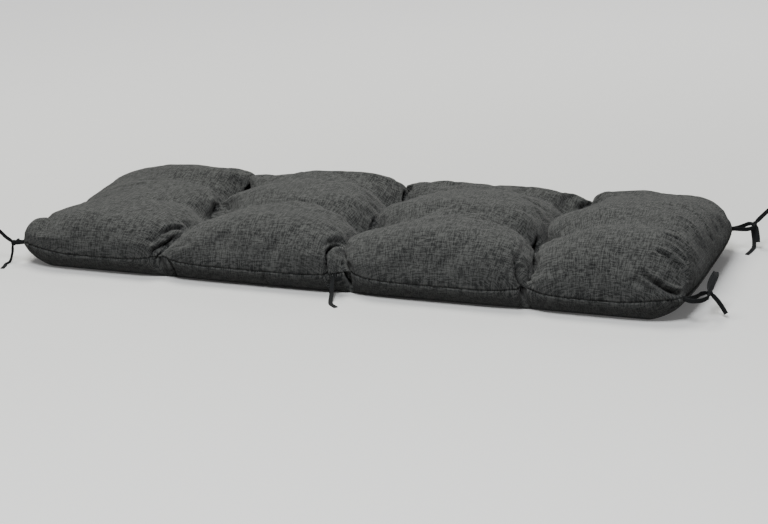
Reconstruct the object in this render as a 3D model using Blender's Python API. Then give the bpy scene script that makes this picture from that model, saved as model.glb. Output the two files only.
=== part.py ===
"""A tufted bench cushion with its ties, lying on its back.

The frame has +X along the cushion to its right end, +Y to its rear edge and +Z up. The origin is the
middle of the cushion's box on the surface that it lies on. All sizes are in metres.

The cushion is two cloth panels, sewn together round their edge and filled. Three creases run across
it and two rows of tufts along it, so each panel swells into four fields of three lobes. Narrow tapes
are sewn into the seam at the corners and at the middle of the front edge, and each pair is knotted.
"""

import bpy
import numpy as np

# Driving dimensions: the cushion's box in plan, and the height of the seam round its edge.
LENGTH = 1.470
DEPTH = 0.510
SEAM_HEIGHT = 0.050

# The outline: how deep the creases notch it, how far the corners and ends are drawn in, and the dent
# in the left end, whose place and half width are shares of the depth.
FRONT_NOTCH = 0.026
REAR_NOTCH = 0.012
NOTCH_POWER = 9
CORNER_DRAW = 0.030
END_DRAW = 0.010
DRAW_POWER = 4
END_DENT = 0.010
DENT_SHARE = 0.53
DENT_HALF = 0.13
# The share of each corner's point that is cut off, so two tapes meet the seam there side by side.
BLUNTED = 0.85

# How far in from each edge the upper panel rounds over.
FRONT_ROUND = 0.085
REAR_ROUND = 0.060
LEFT_ROUND = 0.210
RIGHT_ROUND = 0.095

# The flat foot that the cushion rests on, a rectangle in plan, and how fully the lower panel bulges
# between it and the seam.
FOOT = {"left": -0.655, "right": 0.655, "front": -0.221, "rear": 0.221}
UNDER_POWER = 0.55

# The swell of a field between its creases, and the half width of the valley along a row of tufts.
SWELL_POWER = 2.3
ROW_HALF = 0.075

# The tufts: how far round each the cloth is drawn down, to which height and how fully, and the
# dimple under it.
TUFT_RADIUS = 0.095
TUFT_HEIGHT = 0.045
TUFT_PULL = 0.55
DIMPLE_RADIUS = 0.048
DIMPLE = 0.012

# Looks of the plain solids.
CLOTH = {"color": (0.055, 0.060, 0.064), "roughness": 0.95}
TAPE = {"color": (0.020, 0.020, 0.022), "roughness": 0.90}

# Each crease between two fields: its x along its run, at the shares of the depth in CREASE_SHARES.
CREASE_SHARES = (0.00, 0.05, 0.20, 0.37, 0.72, 1.00)
CREASES = (
    {"between": "fields 1 and 2", "x": (-0.342, -0.356, -0.358, -0.352, -0.354, -0.365)},
    {"between": "fields 2 and 3", "x": (0.018, 0.004, 0.012, 0.026, 0.014, 0.012)},
    {"between": "fields 3 and 4", "x": (0.410, 0.421, 0.416, 0.406, 0.405, 0.430)},
)
# The lips of each crease lean to the left, so a field's shoulder hangs over its left neighbour: by how
# much, how far out from the crease, and over which rise above the seam.
LEAN = -0.014
LEAN_HALF = 0.060
LEAN_RISE = 0.080
# Folds where the cloth is gathered: a trough in plan from one place to another, across a shoulder.
FOLDS = (
    {"at": "field 3, front left", "half": 0.018, "deep": 0.016,
     "from": (0.050, -0.205), "to": (0.062, -0.262)},
    {"at": "field 1, front right", "half": 0.018, "deep": 0.008,
     "from": (-0.395, -0.150), "to": (-0.380, -0.262)},
    {"at": "field 3, front right", "half": 0.016, "deep": 0.009,
     "from": (0.392, -0.215), "to": (0.394, -0.262)},
    {"at": "field 4, right", "half": 0.022, "deep": 0.008,
     "from": (0.625, -0.150), "to": (0.690, -0.212)},
    {"at": "field 2, rear right", "half": 0.018, "deep": 0.007,
     "from": (-0.020, 0.150), "to": (-0.050, 0.235)},
)
# Each row of tufts: its y at the left end and at the right end, and how far it sinks in each field,
# as a share of the height there.
ROWS = (
    {"left": -0.030, "right": -0.095, "sinks": (0.05, 0.13, 0.13, 0.10)},
    {"left": 0.115, "right": 0.175, "sinks": (0.05, 0.11, 0.10, 0.03)},
)
# Crown heights of the lobes, left to right: one row of the table for each row of lobes.
CROWNS = (
    {"row": "front", "share": 0.18, "heights": (0.122, 0.136, 0.140, 0.153)},
    {"row": "middle", "share": 0.55, "heights": (0.124, 0.140, 0.142, 0.147)},
    {"row": "rear", "share": 0.88, "heights": (0.118, 0.126, 0.121, 0.127)},
)
# The height of a crease's bottom along its run: low at the tufts, higher between them.
CREASE_RUN = (
    {"at": "front edge", "share": 0.00, "height": 0.052},
    {"at": "front lobes", "share": 0.20, "height": 0.070},
    {"at": "front tuft", "share": 0.37, "height": 0.040},
    {"at": "middle lobes", "share": 0.55, "height": 0.072},
    {"at": "rear tuft", "share": 0.72, "height": 0.045},
    {"at": "rear lobes", "share": 0.88, "height": 0.080},
    {"at": "rear edge", "share": 1.00, "height": 0.078},
)

# The ties: a folded tape's width and thickness, the spacing of two in the seam and of the points
# along one, how far it runs straight out of the seam, the radius of a knot, and the clearance
# between pieces.
TAPE_WIDE = 0.0090
TAPE_THICK = 0.0018
PAIR_APART = 0.0026
TAPE_STEP = 0.0060
LEAVE = 0.0040
KNOT_RADIUS = 0.0072
CLEARANCE = 0.0004

# Where each knot lies.
KNOTS = {
    "front left": (-0.757, -0.214, 0.042),
    "front right": (0.763, -0.175, 0.047),
    "rear right": (0.765, 0.258, 0.053),
    "rear left": (-0.760, 0.250, 0.045),
}
UPRIGHT, LEVEL_X, LEVEL_Y, LEVEL_XY = (0, 0, 1), (1, 0, 0), (0, 1, 0), (1, 1, 0)

# The tapes from the seam to a knot, in pairs: the places between the two, and the side they start on.
LOOPS = (
    {"name": "tie_front_left_a", "at": "front left", "side": 1,
     "by": ((-0.736, -0.235, 0.050), (-0.751, -0.230, 0.047))},
    {"name": "tie_front_left_b", "at": "front left", "side": -1,
     "by": ((-0.737, -0.224, 0.050), (-0.746, -0.210, 0.047))},
    {"name": "tie_front_right_a", "at": "front right", "side": -1,
     "by": ((0.740, -0.2365, 0.050), (0.756, -0.231, 0.050), (0.767, -0.205, 0.049))},
    {"name": "tie_front_right_b", "at": "front right", "side": 1,
     "by": ((0.7385, -0.219, 0.050), (0.746, -0.203, 0.049), (0.750, -0.185, 0.048))},
    {"name": "tie_rear_right_a", "at": "rear right", "side": -1,
     "by": ((0.739, 0.226, 0.050), (0.757, 0.227, 0.051), (0.768, 0.240, 0.052))},
    {"name": "tie_rear_right_b", "at": "rear right", "side": 1,
     "by": ((0.736, 0.239, 0.050), (0.744, 0.250, 0.051), (0.754, 0.259, 0.053))},
    {"name": "tie_rear_left_a", "at": "rear left", "side": 1,
     "by": ((-0.737, 0.225, 0.050), (-0.753, 0.228, 0.048), (-0.761, 0.239, 0.046))},
    {"name": "tie_rear_left_b", "at": "rear left", "side": -1,
     "by": ((-0.734, 0.238, 0.050), (-0.741, 0.249, 0.048), (-0.750, 0.254, 0.046))},
)
# The free ends that leave a knot: their places, and which way their width points at the end.
ENDS = (
    {"name": "tie_front_left_end_up", "at": "front left", "start": (0.7, 0, 0.7), "end": (0.7, 0, 0.7),
     "by": ((-0.773, -0.219, 0.056), (-0.787, -0.221, 0.070), (-0.797, -0.222, 0.077))},
    {"name": "tie_front_left_end_down", "at": "front left", "start": LEVEL_Y, "end": LEVEL_X,
     "by": ((-0.758, -0.222, 0.022), (-0.760, -0.230, 0.006), (-0.761, -0.247, 0.0016),
            (-0.756, -0.270, 0.0014))},
    {"name": "tie_front_right_end", "at": "front right", "start": (0.7, 0, 0.7), "end": (0.7, 0, 0.7),
     "by": ((0.775, -0.175, 0.037), (0.786, -0.175, 0.023), (0.796, -0.178, 0.009))},
    {"name": "tie_rear_right_end_up", "at": "rear right", "start": (-0.7, 0, 0.7), "end": (-0.7, 0, 0.7),
     "by": ((0.778, 0.265, 0.068), (0.793, 0.272, 0.083))},
    {"name": "tie_rear_right_end_down", "at": "rear right", "start": LEVEL_X, "end": LEVEL_X,
     "by": ((0.773, 0.250, 0.037), (0.776, 0.245, 0.018))},
    {"name": "tie_rear_right_tail", "at": "rear right", "start": LEVEL_X, "end": LEVEL_X,
     "by": ((0.760, 0.270, 0.035), (0.763, 0.269, 0.014), (0.765, 0.258, 0.0036),
            (0.764, 0.240, 0.0016), (0.760, 0.208, 0.0014))},
    {"name": "tie_rear_left_end_a", "at": "rear left", "start": LEVEL_Y, "end": LEVEL_Y,
     "by": ((-0.773, 0.247, 0.030), (-0.785, 0.243, 0.008), (-0.798, 0.239, 0.0016),
            (-0.812, 0.236, 0.0014))},
    {"name": "tie_rear_left_end_b", "at": "rear left", "start": LEVEL_X, "end": LEVEL_X,
     "by": ((-0.763, 0.266, 0.030), (-0.765, 0.278, 0.008), (-0.768, 0.290, 0.0016),
            (-0.772, 0.306, 0.0014))},
)
# The loop of a half bow: it leaves its knot and comes back to it.
BOW = {"name": "tie_front_right_bow", "at": "front right", "start": LEVEL_X, "end": LEVEL_X,
       "by": ((0.767, -0.166, 0.061), (0.771, -0.152, 0.076), (0.767, -0.141, 0.078),
              (0.761, -0.148, 0.068), (0.759, -0.160, 0.057))}
# The two tapes sewn into the seam at the middle of the front edge, with free ends.
MIDDLE_TAPES = (
    {"name": "tie_front_middle_long", "side": -1, "start": UPRIGHT, "end": LEVEL_XY,
     "by": ((0.0155, -0.244, 0.047), (0.0165, -0.259, 0.032), (0.020, -0.275, 0.011),
            (0.027, -0.297, 0.0016), (0.046, -0.315, 0.0014))},
    {"name": "tie_front_middle_short", "side": 1, "start": UPRIGHT, "end": UPRIGHT,
     "by": ((0.0205, -0.245, 0.046), (0.027, -0.263, 0.041), (0.042, -0.270, 0.047))},
)
# How far in front of the seam's notch those two start, where it is wide enough for them.
NOTCH_STANDOFF = 0.0038

# The corners of a grid of points by row and column, and the next step inwards from each.
CORNERS = (("front left", 0, 0), ("front right", 0, -1), ("rear left", -1, 0), ("rear right", -1, -1))
INWARD = {0: 1, -1: -2}

# The grid: steps across each field and over the depth, and how much of their spacing closes up
# towards the creases and edges. A knot's sides and rings.
FIELD_STEPS = 24
FIELD_CLOSING = 0.65
DEPTH_STEPS = 26
DEPTH_CLOSING = 0.75
KNOT_SIDES = 12
KNOT_RINGS = 8


def through(at, places, values):
    """A smooth curve through (places, values), read at at: cubic Hermite with mean slopes."""
    places, values = np.asarray(places, float), np.asarray(values, float)
    slopes = np.gradient(values, places)
    i = np.clip(np.searchsorted(places, at) - 1, 0, len(places) - 2)
    wide = places[i + 1] - places[i]
    t = np.clip((at - places[i]) / wide, 0, 1)
    rise = values[i + 1] - values[i]
    bend = slopes[i] * wide * (1 - t) - slopes[i + 1] * wide * t + rise * (2 * t - 1)
    return values[i] + rise * t + t * (1 - t) * bend


def rounded(distance, radius):
    """A quarter of an ellipse: 0 at the edge, rising upright, and 1 from radius inwards."""
    t = np.clip(distance / radius, 0, 1)
    return np.sqrt(1 - (1 - t) ** 2)


def bell(distance, radius):
    """A dimple's shape: 1 at a place, and exactly 0 from radius outwards."""
    return np.clip(1 - (distance / radius) ** 2, 0, 1) ** 2


def closing(steps, share):
    """Places from -1 to 1 whose spacing closes up towards both ends, by a share of it."""
    even = np.linspace(-1, 1, steps + 1)
    return (1 - share) * even + share * np.sin(np.pi / 2 * even)


def crease_line(crease, share):
    """The x of a crease at a share of the depth."""
    return through(share, CREASE_SHARES, crease["x"])


def panel_grid():
    """The plan of both panels: arrays with a row for each step from front to rear.

    x and y are the places, share is the share of the depth, across is the place in each field from
    crease to crease (-1 to 1, and 0 on the outer side of an end field), and edges holds how far each
    point is from the front, rear, left and right edges.
    """
    share = 0.5 + 0.5 * closing(DEPTH_STEPS, DEPTH_CLOSING)[:, None]
    side = np.abs(2 * share - 1) ** DRAW_POWER
    left = -LENGTH / 2 + END_DRAW * side + END_DENT * bell(share - DENT_SHARE, DENT_HALF)
    right = LENGTH / 2 - END_DRAW * side
    bounds = np.hstack([left, *(crease_line(crease, share) for crease in CREASES), right])
    places = closing(FIELD_STEPS, FIELD_CLOSING)
    fields = bounds.shape[1] - 1
    across = np.append(np.tile(places[:-1], fields), 1)
    field = np.append(np.repeat(np.arange(fields), FIELD_STEPS), fields - 1)
    low, high = bounds[:, field], bounds[:, field + 1]
    x = low + (high - low) * (across + 1) / 2
    outer = ((field == 0) & (across < 0)) | ((field == fields - 1) & (across > 0))
    drawn = CORNER_DRAW * np.abs(across) ** DRAW_POWER
    notched = np.abs(across) ** NOTCH_POWER
    front = -DEPTH / 2 + np.where(outer, drawn, FRONT_NOTCH * notched)
    rear = DEPTH / 2 - np.where(outer, drawn, REAR_NOTCH * notched)
    y = front + (rear - front) * share
    edges = (y - front, rear - y, x - left, right - x)
    return x, y, share, field, np.where(outer, 0, across), edges


def tufts():
    """The plan places of the tufts: where each row crosses each crease."""
    places = []
    for row in ROWS:
        for crease in CREASES:
            along = crease["x"][0] / LENGTH + 0.5
            y = row["left"] + (row["right"] - row["left"]) * along
            places.append((float(crease_line(crease, y / DEPTH + 0.5)), y))
    return places


def lobe_height(x, y, share, field, across, to_tufts):
    """The upper panel's height inside its edges: crowns, sunk along the rows, creases and tufts."""
    stations = [row["share"] for row in CROWNS]
    by_field = np.array([row["heights"] for row in CROWNS]).T
    crown = np.hstack([through(share, stations, heights) for heights in by_field])[:, field]
    for row in ROWS:
        valley = row["left"] + (row["right"] - row["left"]) * (x / LENGTH + 0.5)
        sink = np.array(row["sinks"])[field] * (0.8 + 1.2 * across**2)
        crown = crown * (1 - sink * bell(y - valley, ROW_HALF))
    crease = through(share, [row["share"] for row in CREASE_RUN], [row["height"] for row in CREASE_RUN])
    height = crease + (crown - crease) * np.sqrt(1 - np.abs(across) ** SWELL_POWER)
    for distance in to_tufts:
        height = height - (height - TUFT_HEIGHT) * TUFT_PULL * bell(distance, TUFT_RADIUS)
    return height


def rounding(edges, radii):
    """The share of its full height that a panel has near its edges."""
    return np.prod([rounded(distance, radius) for distance, radius in zip(edges, radii)], axis=0)


def footing(x, y, edges):
    """How far the lower panel has come down: 0 at the seam, 1 on the foot."""
    outside = (FOOT["front"] - y, y - FOOT["rear"], FOOT["left"] - x, x - FOOT["right"])
    shares = [edge / (edge + np.maximum(off, 0)) for edge, off in zip(edges, outside)]
    return np.prod(shares, axis=0) ** UNDER_POWER


def square_foot(surface):
    """Move the grid's point nearest to each corner of the foot exactly there."""
    for x in (FOOT["left"], FOOT["right"]):
        for y in (FOOT["front"], FOOT["rear"]):
            off = np.hypot(surface[:, :, 0] - x, surface[:, :, 1] - y)
            surface[np.unravel_index(off.argmin(), off.shape)] = (x, y, 0)
    return surface


def cushion():
    """One filled solid of two panels. Returns where its seam holds tapes: each place and its way out."""
    x, y, share, field, across, edges = panel_grid()
    to_tufts = [np.hypot(x - tuft_x, y - tuft_y) for tuft_x, tuft_y in tufts()]
    height = lobe_height(x, y, share, field, across, to_tufts)
    over = rounding(edges, (FRONT_ROUND, REAR_ROUND, LEFT_ROUND, RIGHT_ROUND))
    upper = SEAM_HEIGHT + (height - SEAM_HEIGHT) * over
    lower = SEAM_HEIGHT * (1 - footing(x, y, edges))
    lower = lower + DIMPLE * sum(bell(each, DIMPLE_RADIUS) for each in to_tufts)
    lean = LEAN * sum(bell(x - crease_line(crease, share), LEAN_HALF) for crease in CREASES)
    for distance in to_tufts:
        lean = lean * (1 - bell(distance, TUFT_RADIUS))
    leaning = x + lean * np.clip((upper - SEAM_HEIGHT) / LEAN_RISE, 0, 1)
    top = gather(np.stack([leaning, y, upper], axis=2))
    seam = {name: blunt(top, row, column) for name, row, column in CORNERS}
    seam["front middle"] = top[0, 2 * FIELD_STEPS], np.array((0, -1, 0))
    points, faces = two_panels(top, square_foot(np.stack([x, y, lower], axis=2)))
    add_solid("cushion", points, faces, CLOTH)
    return seam


def blunt(surface, row, column):
    """Cut most of a corner's point off a grid. Returns the corner's new place and its way out."""
    along_row, along_column = surface[row, INWARD[column]], surface[INWARD[row], column]
    middle = (along_row + along_column) / 2
    place = surface[row, column] + BLUNTED * (middle - surface[row, column])
    out = np.array((along_column[1] - along_row[1], along_row[0] - along_column[0], 0))
    out = out / np.linalg.norm(out)
    out = out * np.sign(out @ (surface[row, column] - middle))
    surface[row, column] = place
    return place, out


def gather(surface):
    """Press the folds into a grid of points, each along the surface's own direction inwards."""
    along = np.gradient(surface, axis=1)
    up = np.gradient(surface, axis=0)
    out = np.cross(along, up)
    out = out / np.maximum(np.linalg.norm(out, axis=2, keepdims=True), 1e-12)
    depth = 0
    for fold in FOLDS:
        start, end = np.array(fold["from"]), np.array(fold["to"])
        run = end - start
        t = np.clip(((surface[:, :, :2] - start) @ run) / (run @ run), 0, 1)
        off = np.linalg.norm(surface[:, :, :2] - start - t[:, :, None] * run, axis=2)
        depth = depth + fold["deep"] * bell(off, fold["half"])
    return surface - out * depth[:, :, None]


def two_panels(upper, lower):
    """Join two grids of points that share their border: all points, and faces that point outwards."""
    rows, columns = upper.shape[:2]
    top = np.arange(rows * columns).reshape(rows, columns)
    under = top.copy()
    inner = (rows - 2) * (columns - 2)
    under[1:-1, 1:-1] = rows * columns + np.arange(inner).reshape(rows - 2, columns - 2)
    points = np.concatenate([upper.reshape(-1, 3), lower[1:-1, 1:-1].reshape(-1, 3)])
    up = np.stack([top[:-1, :-1], top[:-1, 1:], top[1:, 1:], top[1:, :-1]], axis=2)
    down = np.stack([under[:-1, :-1], under[1:, :-1], under[1:, 1:], under[:-1, 1:]], axis=2)
    return points, np.concatenate([up.reshape(-1, 4), down.reshape(-1, 4)]).tolist()


def add_solid(name, points, faces, look):
    """Make a named object of points and faces, in its own copy of a plain material."""
    mesh = bpy.data.meshes.new(name)
    mesh.from_pydata(np.asarray(points).tolist(), [], faces)
    mesh.shade_smooth()
    solid = bpy.data.objects.new(name, mesh)
    bpy.context.scene.collection.objects.link(solid)
    material = bpy.data.materials.new(name)
    material.use_nodes = True
    shader = material.node_tree.nodes["Principled BSDF"]
    shader.inputs["Base Color"].default_value = (*look["color"], 1)
    shader.inputs["Roughness"].default_value = look["roughness"]
    mesh.materials.append(material)
    return solid


def knot(name):
    """A pulled knot, plain and round: a pole, rings of points from the top down, and a pole."""
    turns = np.linspace(0, 2 * np.pi, KNOT_SIDES, endpoint=False)
    falls = np.linspace(0, np.pi, KNOT_RINGS + 1)[1:-1, None]
    level = np.sin(falls)
    rings = np.stack([level * np.cos(turns), level * np.sin(turns), np.cos(falls) + 0 * turns], axis=2)
    points = np.concatenate([[(0, 0, 1)], rings.reshape(-1, 3), [(0, 0, -1)]])
    points = points * KNOT_RADIUS + KNOTS[name]
    ring = 1 + np.arange(len(falls) * KNOT_SIDES).reshape(-1, KNOT_SIDES)
    after = np.roll(ring, -1, axis=1)
    bands = np.stack([ring[:-1], ring[1:], after[1:], after[:-1]], axis=2).reshape(-1, 4)
    above = np.stack([0 * ring[0], ring[0], after[0]], axis=1)
    below = np.stack([0 * ring[0] + len(points) - 1, after[-1], ring[-1]], axis=1)
    faces = [*bands.tolist(), *above.tolist(), *below.tolist()]
    add_solid("knot_" + name.replace(" ", "_"), points, faces, TAPE)


def off_knot(name, toward):
    """The place just clear of a knot's surface, on the way to toward."""
    centre = np.array(KNOTS[name])
    way = np.array(toward) - centre
    return centre + way / np.linalg.norm(way) * (KNOT_RADIUS + CLEARANCE)


def smooth_route(places):
    """A smooth curve through places, read at even steps along it."""
    places = np.array(places, float)
    along = np.concatenate([[0], np.cumsum(np.linalg.norm(np.diff(places, axis=0), axis=1))])
    at = np.linspace(0, along[-1], max(4, round(along[-1] / TAPE_STEP) + 1))
    return np.stack([through(at, along, places[:, k]) for k in range(3)], axis=1)


def tape(name, places, start, end):
    """A flat tape along a smooth route; its width turns from start to end over the first half."""
    line = smooth_route(places)
    along = np.gradient(line, axis=0)
    along = along / np.linalg.norm(along, axis=1, keepdims=True)
    turned = np.clip(np.linspace(0, 2, len(line)), 0, 1)[:, None]
    wide = (1 - turned) * np.array(start, float) + turned * np.array(end, float)
    wide = wide - (wide * along).sum(axis=1, keepdims=True) * along
    wide = wide / np.linalg.norm(wide, axis=1, keepdims=True) * TAPE_WIDE / 2
    thick = np.cross(along, wide) * TAPE_THICK / TAPE_WIDE
    corners = (-wide - thick, wide - thick, wide + thick, thick - wide)
    rings = np.stack([line + each for each in corners], axis=1)
    first = 4 * np.arange(len(line) - 1)[:, None]
    corner = np.arange(4)[None, :]
    after = (corner + 1) % 4
    sides = np.stack([first + corner, first + after, first + after + 4, first + corner + 4], axis=2)
    last = 4 * (len(line) - 1)
    ends = [[3, 2, 1, 0], [last, last + 1, last + 2, last + 3]]
    add_solid(name, rings.reshape(-1, 3), sides.reshape(-1, 4).tolist() + ends, TAPE)


def ties(seam):
    """Every tape and knot; seam holds the places in the seam that the tapes start from."""
    for name in KNOTS:
        knot(name)
    for loop in LOOPS:
        corner, out = seam[loop["at"]]
        aside = np.array((-out[1], out[0], 0)) * loop["side"] * PAIR_APART / 2
        start = corner + out * CLEARANCE + aside
        straight = start + out * LEAVE
        places = (start, straight, *loop["by"], off_knot(loop["at"], loop["by"][-1]))
        tape(loop["name"], places, UPRIGHT, UPRIGHT)
    for end in ENDS:
        tape(end["name"], (off_knot(end["at"], end["by"][0]), *end["by"]), end["start"], end["end"])
    leave, arrive = off_knot(BOW["at"], BOW["by"][0]), off_knot(BOW["at"], BOW["by"][-1])
    tape(BOW["name"], (leave, *BOW["by"], arrive), BOW["start"], BOW["end"])
    for each in MIDDLE_TAPES:
        notch, out = seam["front middle"]
        aside = np.array((each["side"] * PAIR_APART / 2, 0, 0))
        start = notch + out * NOTCH_STANDOFF + aside
        tape(each["name"], (start, *each["by"]), each["start"], each["end"])


for old in list(bpy.data.objects):
    bpy.data.objects.remove(old)
ties(cushion())
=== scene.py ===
# %% [markdown]
# # A tufted bench cushion with tape ties
# This notebook dresses a plain model of a long, tufted cushion. The plain model gives every size.
# Each cell adds one thing: the view, the light, the filled cloth, its folds, the woven look, and the
# little tapes that tie it down. Everything is in metres, with Z up.

import bpy
import numpy as np
from mathutils import Matrix, Vector


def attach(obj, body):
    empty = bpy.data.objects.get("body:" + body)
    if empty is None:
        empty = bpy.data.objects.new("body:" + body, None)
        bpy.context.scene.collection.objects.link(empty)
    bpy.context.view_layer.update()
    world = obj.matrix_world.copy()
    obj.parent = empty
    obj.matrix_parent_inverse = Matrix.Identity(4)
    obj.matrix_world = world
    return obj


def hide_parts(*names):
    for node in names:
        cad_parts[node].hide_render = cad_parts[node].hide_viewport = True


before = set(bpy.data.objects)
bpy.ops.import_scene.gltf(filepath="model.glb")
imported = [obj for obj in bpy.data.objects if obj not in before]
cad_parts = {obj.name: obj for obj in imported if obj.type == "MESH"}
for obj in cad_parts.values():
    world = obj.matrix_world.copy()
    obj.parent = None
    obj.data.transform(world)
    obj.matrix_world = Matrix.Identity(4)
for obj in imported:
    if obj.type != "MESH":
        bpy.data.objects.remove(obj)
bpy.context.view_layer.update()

# %% [markdown]
# ## The camera
# A picture of a long cushion is taken from a little above and to one side, with a long lens, so
# its far end looks hardly smaller than its near end. Three turns place such a camera: round the
# upright, then the pitch, then a slight roll. It comes first, because it decides what is seen.

# %% Set up the camera
CAMERA_PLACE = (1.4650, -3.5100, 1.2485)
CAMERA_TURN, CAMERA_PITCH, CAMERA_ROLL = 0.38945, 1.25101, -0.04497
CAMERA_LENS, SENSOR_WIDTH = 87.62, 36

camera_data = bpy.data.cameras.new("camera")
camera_data.lens = CAMERA_LENS
camera_data.sensor_width = SENSOR_WIDTH
camera = bpy.data.objects.new("camera", camera_data)
bpy.context.scene.collection.objects.link(camera)
turned = (
    Matrix.Rotation(CAMERA_TURN, 4, "Z")
    @ Matrix.Rotation(CAMERA_PITCH, 4, "X")
    @ Matrix.Rotation(CAMERA_ROLL, 4, "Z")
)
camera.matrix_world = Matrix.Translation(Vector(CAMERA_PLACE)) @ turned
bpy.context.scene.camera = camera
print("camera at", CAMERA_PLACE, "with a lens of", CAMERA_LENS, "mm")

# %% [markdown]
# ## Floor and light
# Dark cloth shows its folds only if light falls across it, so a broad soft light hangs over the upper
# left. One in front keeps the shadows open, and a weak one behind marks the rear lobes. A small floor
# would show its edge, and any floor grows dark away from the lights. This one is very large, and to
# the camera alone it glows by what the light has lost there, so it looks evenly pale and still throws
# no more light back onto the dark cloth than grey paint would.

# %% Make the floor and the lights
# The floor and the surroundings are paler to the camera than to the light that bounces off them.
FLOOR_COLOR, FLOOR_SEEN, FLOOR_ROUGHNESS = (0.33, 0.33, 0.33, 1), (0.92, 0.92, 0.92, 1), 0.9
FLOOR_HALF, LIGHT_HEIGHT = 30.0, 2.9
BLACK = (0, 0, 0, 1)
SURROUND, SURROUND_STRENGTH, SURROUND_SEEN = (1.0, 0.98, 0.95, 1), 0.06, 0.92
LIGHTS = (
    {"name": "broad light", "at": (-0.8, 0.5, 3.0), "size": 1.6, "watts": 66, "color": (1.0, 1.0, 0.92)},
    {"name": "front light", "at": (0.5, -1.7, 2.8), "size": 1.2, "watts": 78, "color": (0.98, 1.0, 1.0)},
    {"name": "rear light", "at": (0.4, 2.8, 2.2), "size": 1.6, "watts": 16, "color": (1.0, 1.0, 0.96)},
)


def new_mesh(name, points, faces, smooth=True):
    """A named object in the scene from points and faces."""
    mesh = bpy.data.meshes.new(name)
    mesh.from_pydata(np.asarray(points, float).reshape(-1, 3).tolist(), [], faces)
    if smooth:
        mesh.shade_smooth()
    piece = bpy.data.objects.new(name, mesh)
    bpy.context.scene.collection.objects.link(piece)
    return piece


def new_material(name, roughness):
    """A material with nodes: returns it, its node tree and its shader."""
    material = bpy.data.materials.new(name)
    material.use_nodes = True
    shader = material.node_tree.nodes["Principled BSDF"]
    shader.inputs["Roughness"].default_value = roughness
    return material, material.node_tree, shader


def place_node(tree, kind, settings=None, links=None):
    """A node with its settings, and its inputs either linked or set to plain values."""
    node = tree.nodes.new(kind)
    for key, value in (settings or {}).items():
        setattr(node, key, value)
    for key, value in (links or {}).items():
        if isinstance(value, bpy.types.NodeSocket):
            tree.links.new(value, node.inputs[key])
        else:
            node.inputs[key].default_value = value
    return node


def maths(tree, operation, first, second=0.0, third=0.0):
    """One step of arithmetic on sockets or numbers."""
    links = {0: first, 1: second, 2: third}
    return place_node(tree, "ShaderNodeMath", {"operation": operation}, links).outputs[0]


def mix(tree, share, first, second, kind="RGBA"):
    """Two colours, or two numbers where kind is FLOAT, mixed by a share from 0 to 1."""
    low, high, out = {"RGBA": (6, 7, 2), "FLOAT": (2, 3, 0)}[kind]
    links = {0: share, low: first, high: second}
    return place_node(tree, "ShaderNodeMix", {"data_type": kind}, links).outputs[out]


def floor_material():
    """Pale paint that looks evenly lit: r away from its middle it glows, to the camera alone, by
    1 - 1 / (1 + (r / height)^2)^2, which is what the lights at that height have lost there."""
    material, tree, shader = new_material("floor paint", FLOOR_ROUGHNESS)
    seen = place_node(tree, "ShaderNodeLightPath").outputs["Is Camera Ray"]
    tree.links.new(mix(tree, seen, FLOOR_COLOR, FLOOR_SEEN), shader.inputs["Base Color"])
    place = place_node(tree, "ShaderNodeTexCoord").outputs["Object"]
    away = place_node(tree, "ShaderNodeVectorMath", {"operation": "LENGTH"}, {0: place}).outputs["Value"]
    spread = maths(tree, "POWER", maths(tree, "DIVIDE", away, LIGHT_HEIGHT), 2.0)
    kept = maths(tree, "POWER", maths(tree, "ADD", spread, 1.0), -2.0)
    glow = maths(tree, "MULTIPLY", maths(tree, "SUBTRACT", 1.0, kept), seen)
    tree.links.new(mix(tree, glow, BLACK, FLOOR_SEEN), shader.inputs["Emission Color"])
    shader.inputs["Emission Strength"].default_value = 1.0
    return material


corners = np.array(((-1, -1, 0), (1, -1, 0), (1, 1, 0), (-1, 1, 0))) * FLOOR_HALF
floor = new_mesh("floor", corners, [(0, 1, 2, 3)], smooth=False)
floor.data.materials.append(floor_material())

world = bpy.context.scene.world or bpy.data.worlds.new("surround")
bpy.context.scene.world = world
world.use_nodes = True
sky = world.node_tree.nodes["Background"]
sky.inputs["Color"].default_value = SURROUND
seen = place_node(world.node_tree, "ShaderNodeLightPath").outputs["Is Camera Ray"]
brighter = SURROUND_SEEN - SURROUND_STRENGTH
strength = maths(world.node_tree, "MULTIPLY_ADD", seen, brighter, SURROUND_STRENGTH)
world.node_tree.links.new(strength, sky.inputs["Strength"])

for row in LIGHTS:
    light_data = bpy.data.lights.new(row["name"], "AREA")
    light_data.shape = "DISK"
    light_data.size = row["size"]
    light_data.energy = row["watts"]
    light_data.color = row["color"]
    light = bpy.data.objects.new(row["name"], light_data)
    bpy.context.scene.collection.objects.link(light)
    light.location = row["at"]
    light.rotation_euler = (-Vector(row["at"])).to_track_quat("-Z", "Y").to_euler()
    print(row["name"], row["watts"], "W")


# %% [markdown]
# ## The filled cloth
# The cushion is two cloth panels sewn together round the edge. Three creases are sewn through both,
# and two rows of tufts pull the cloth down where they cross a crease, so each field swells into
# three lobes. A filled shape like this could be sculpted, simulated from flat panels, or written as
# a height over the plan. The height comes first here, because it lets each lobe be as high as on the
# real one, and a simulation then adds the slack that no formula has.

# %% Sizes of the cushion
LENGTH, DEPTH, SEAM_HEIGHT = 1.470, 0.510, 0.050
# The seam's sag along the front, the share of the depth over which it fades, and the level ends.
SEAM_SAG, SAG_SHARE, SAG_ENDS = 0.010, 0.30, 0.13
# How far the edge is drawn in behind each crease, at the corners and along the ends.
REAR_NOTCH, NOTCH_POWER = 0.012, 9
CORNER_DRAW, END_DRAW, DRAW_POWER = 0.030, 0.010, 4
# A shallow dent in the left end. Its place and half width are shares of the depth.
END_DENT, DENT_SHARE, DENT_HALF = 0.010, 0.53, 0.13
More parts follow.
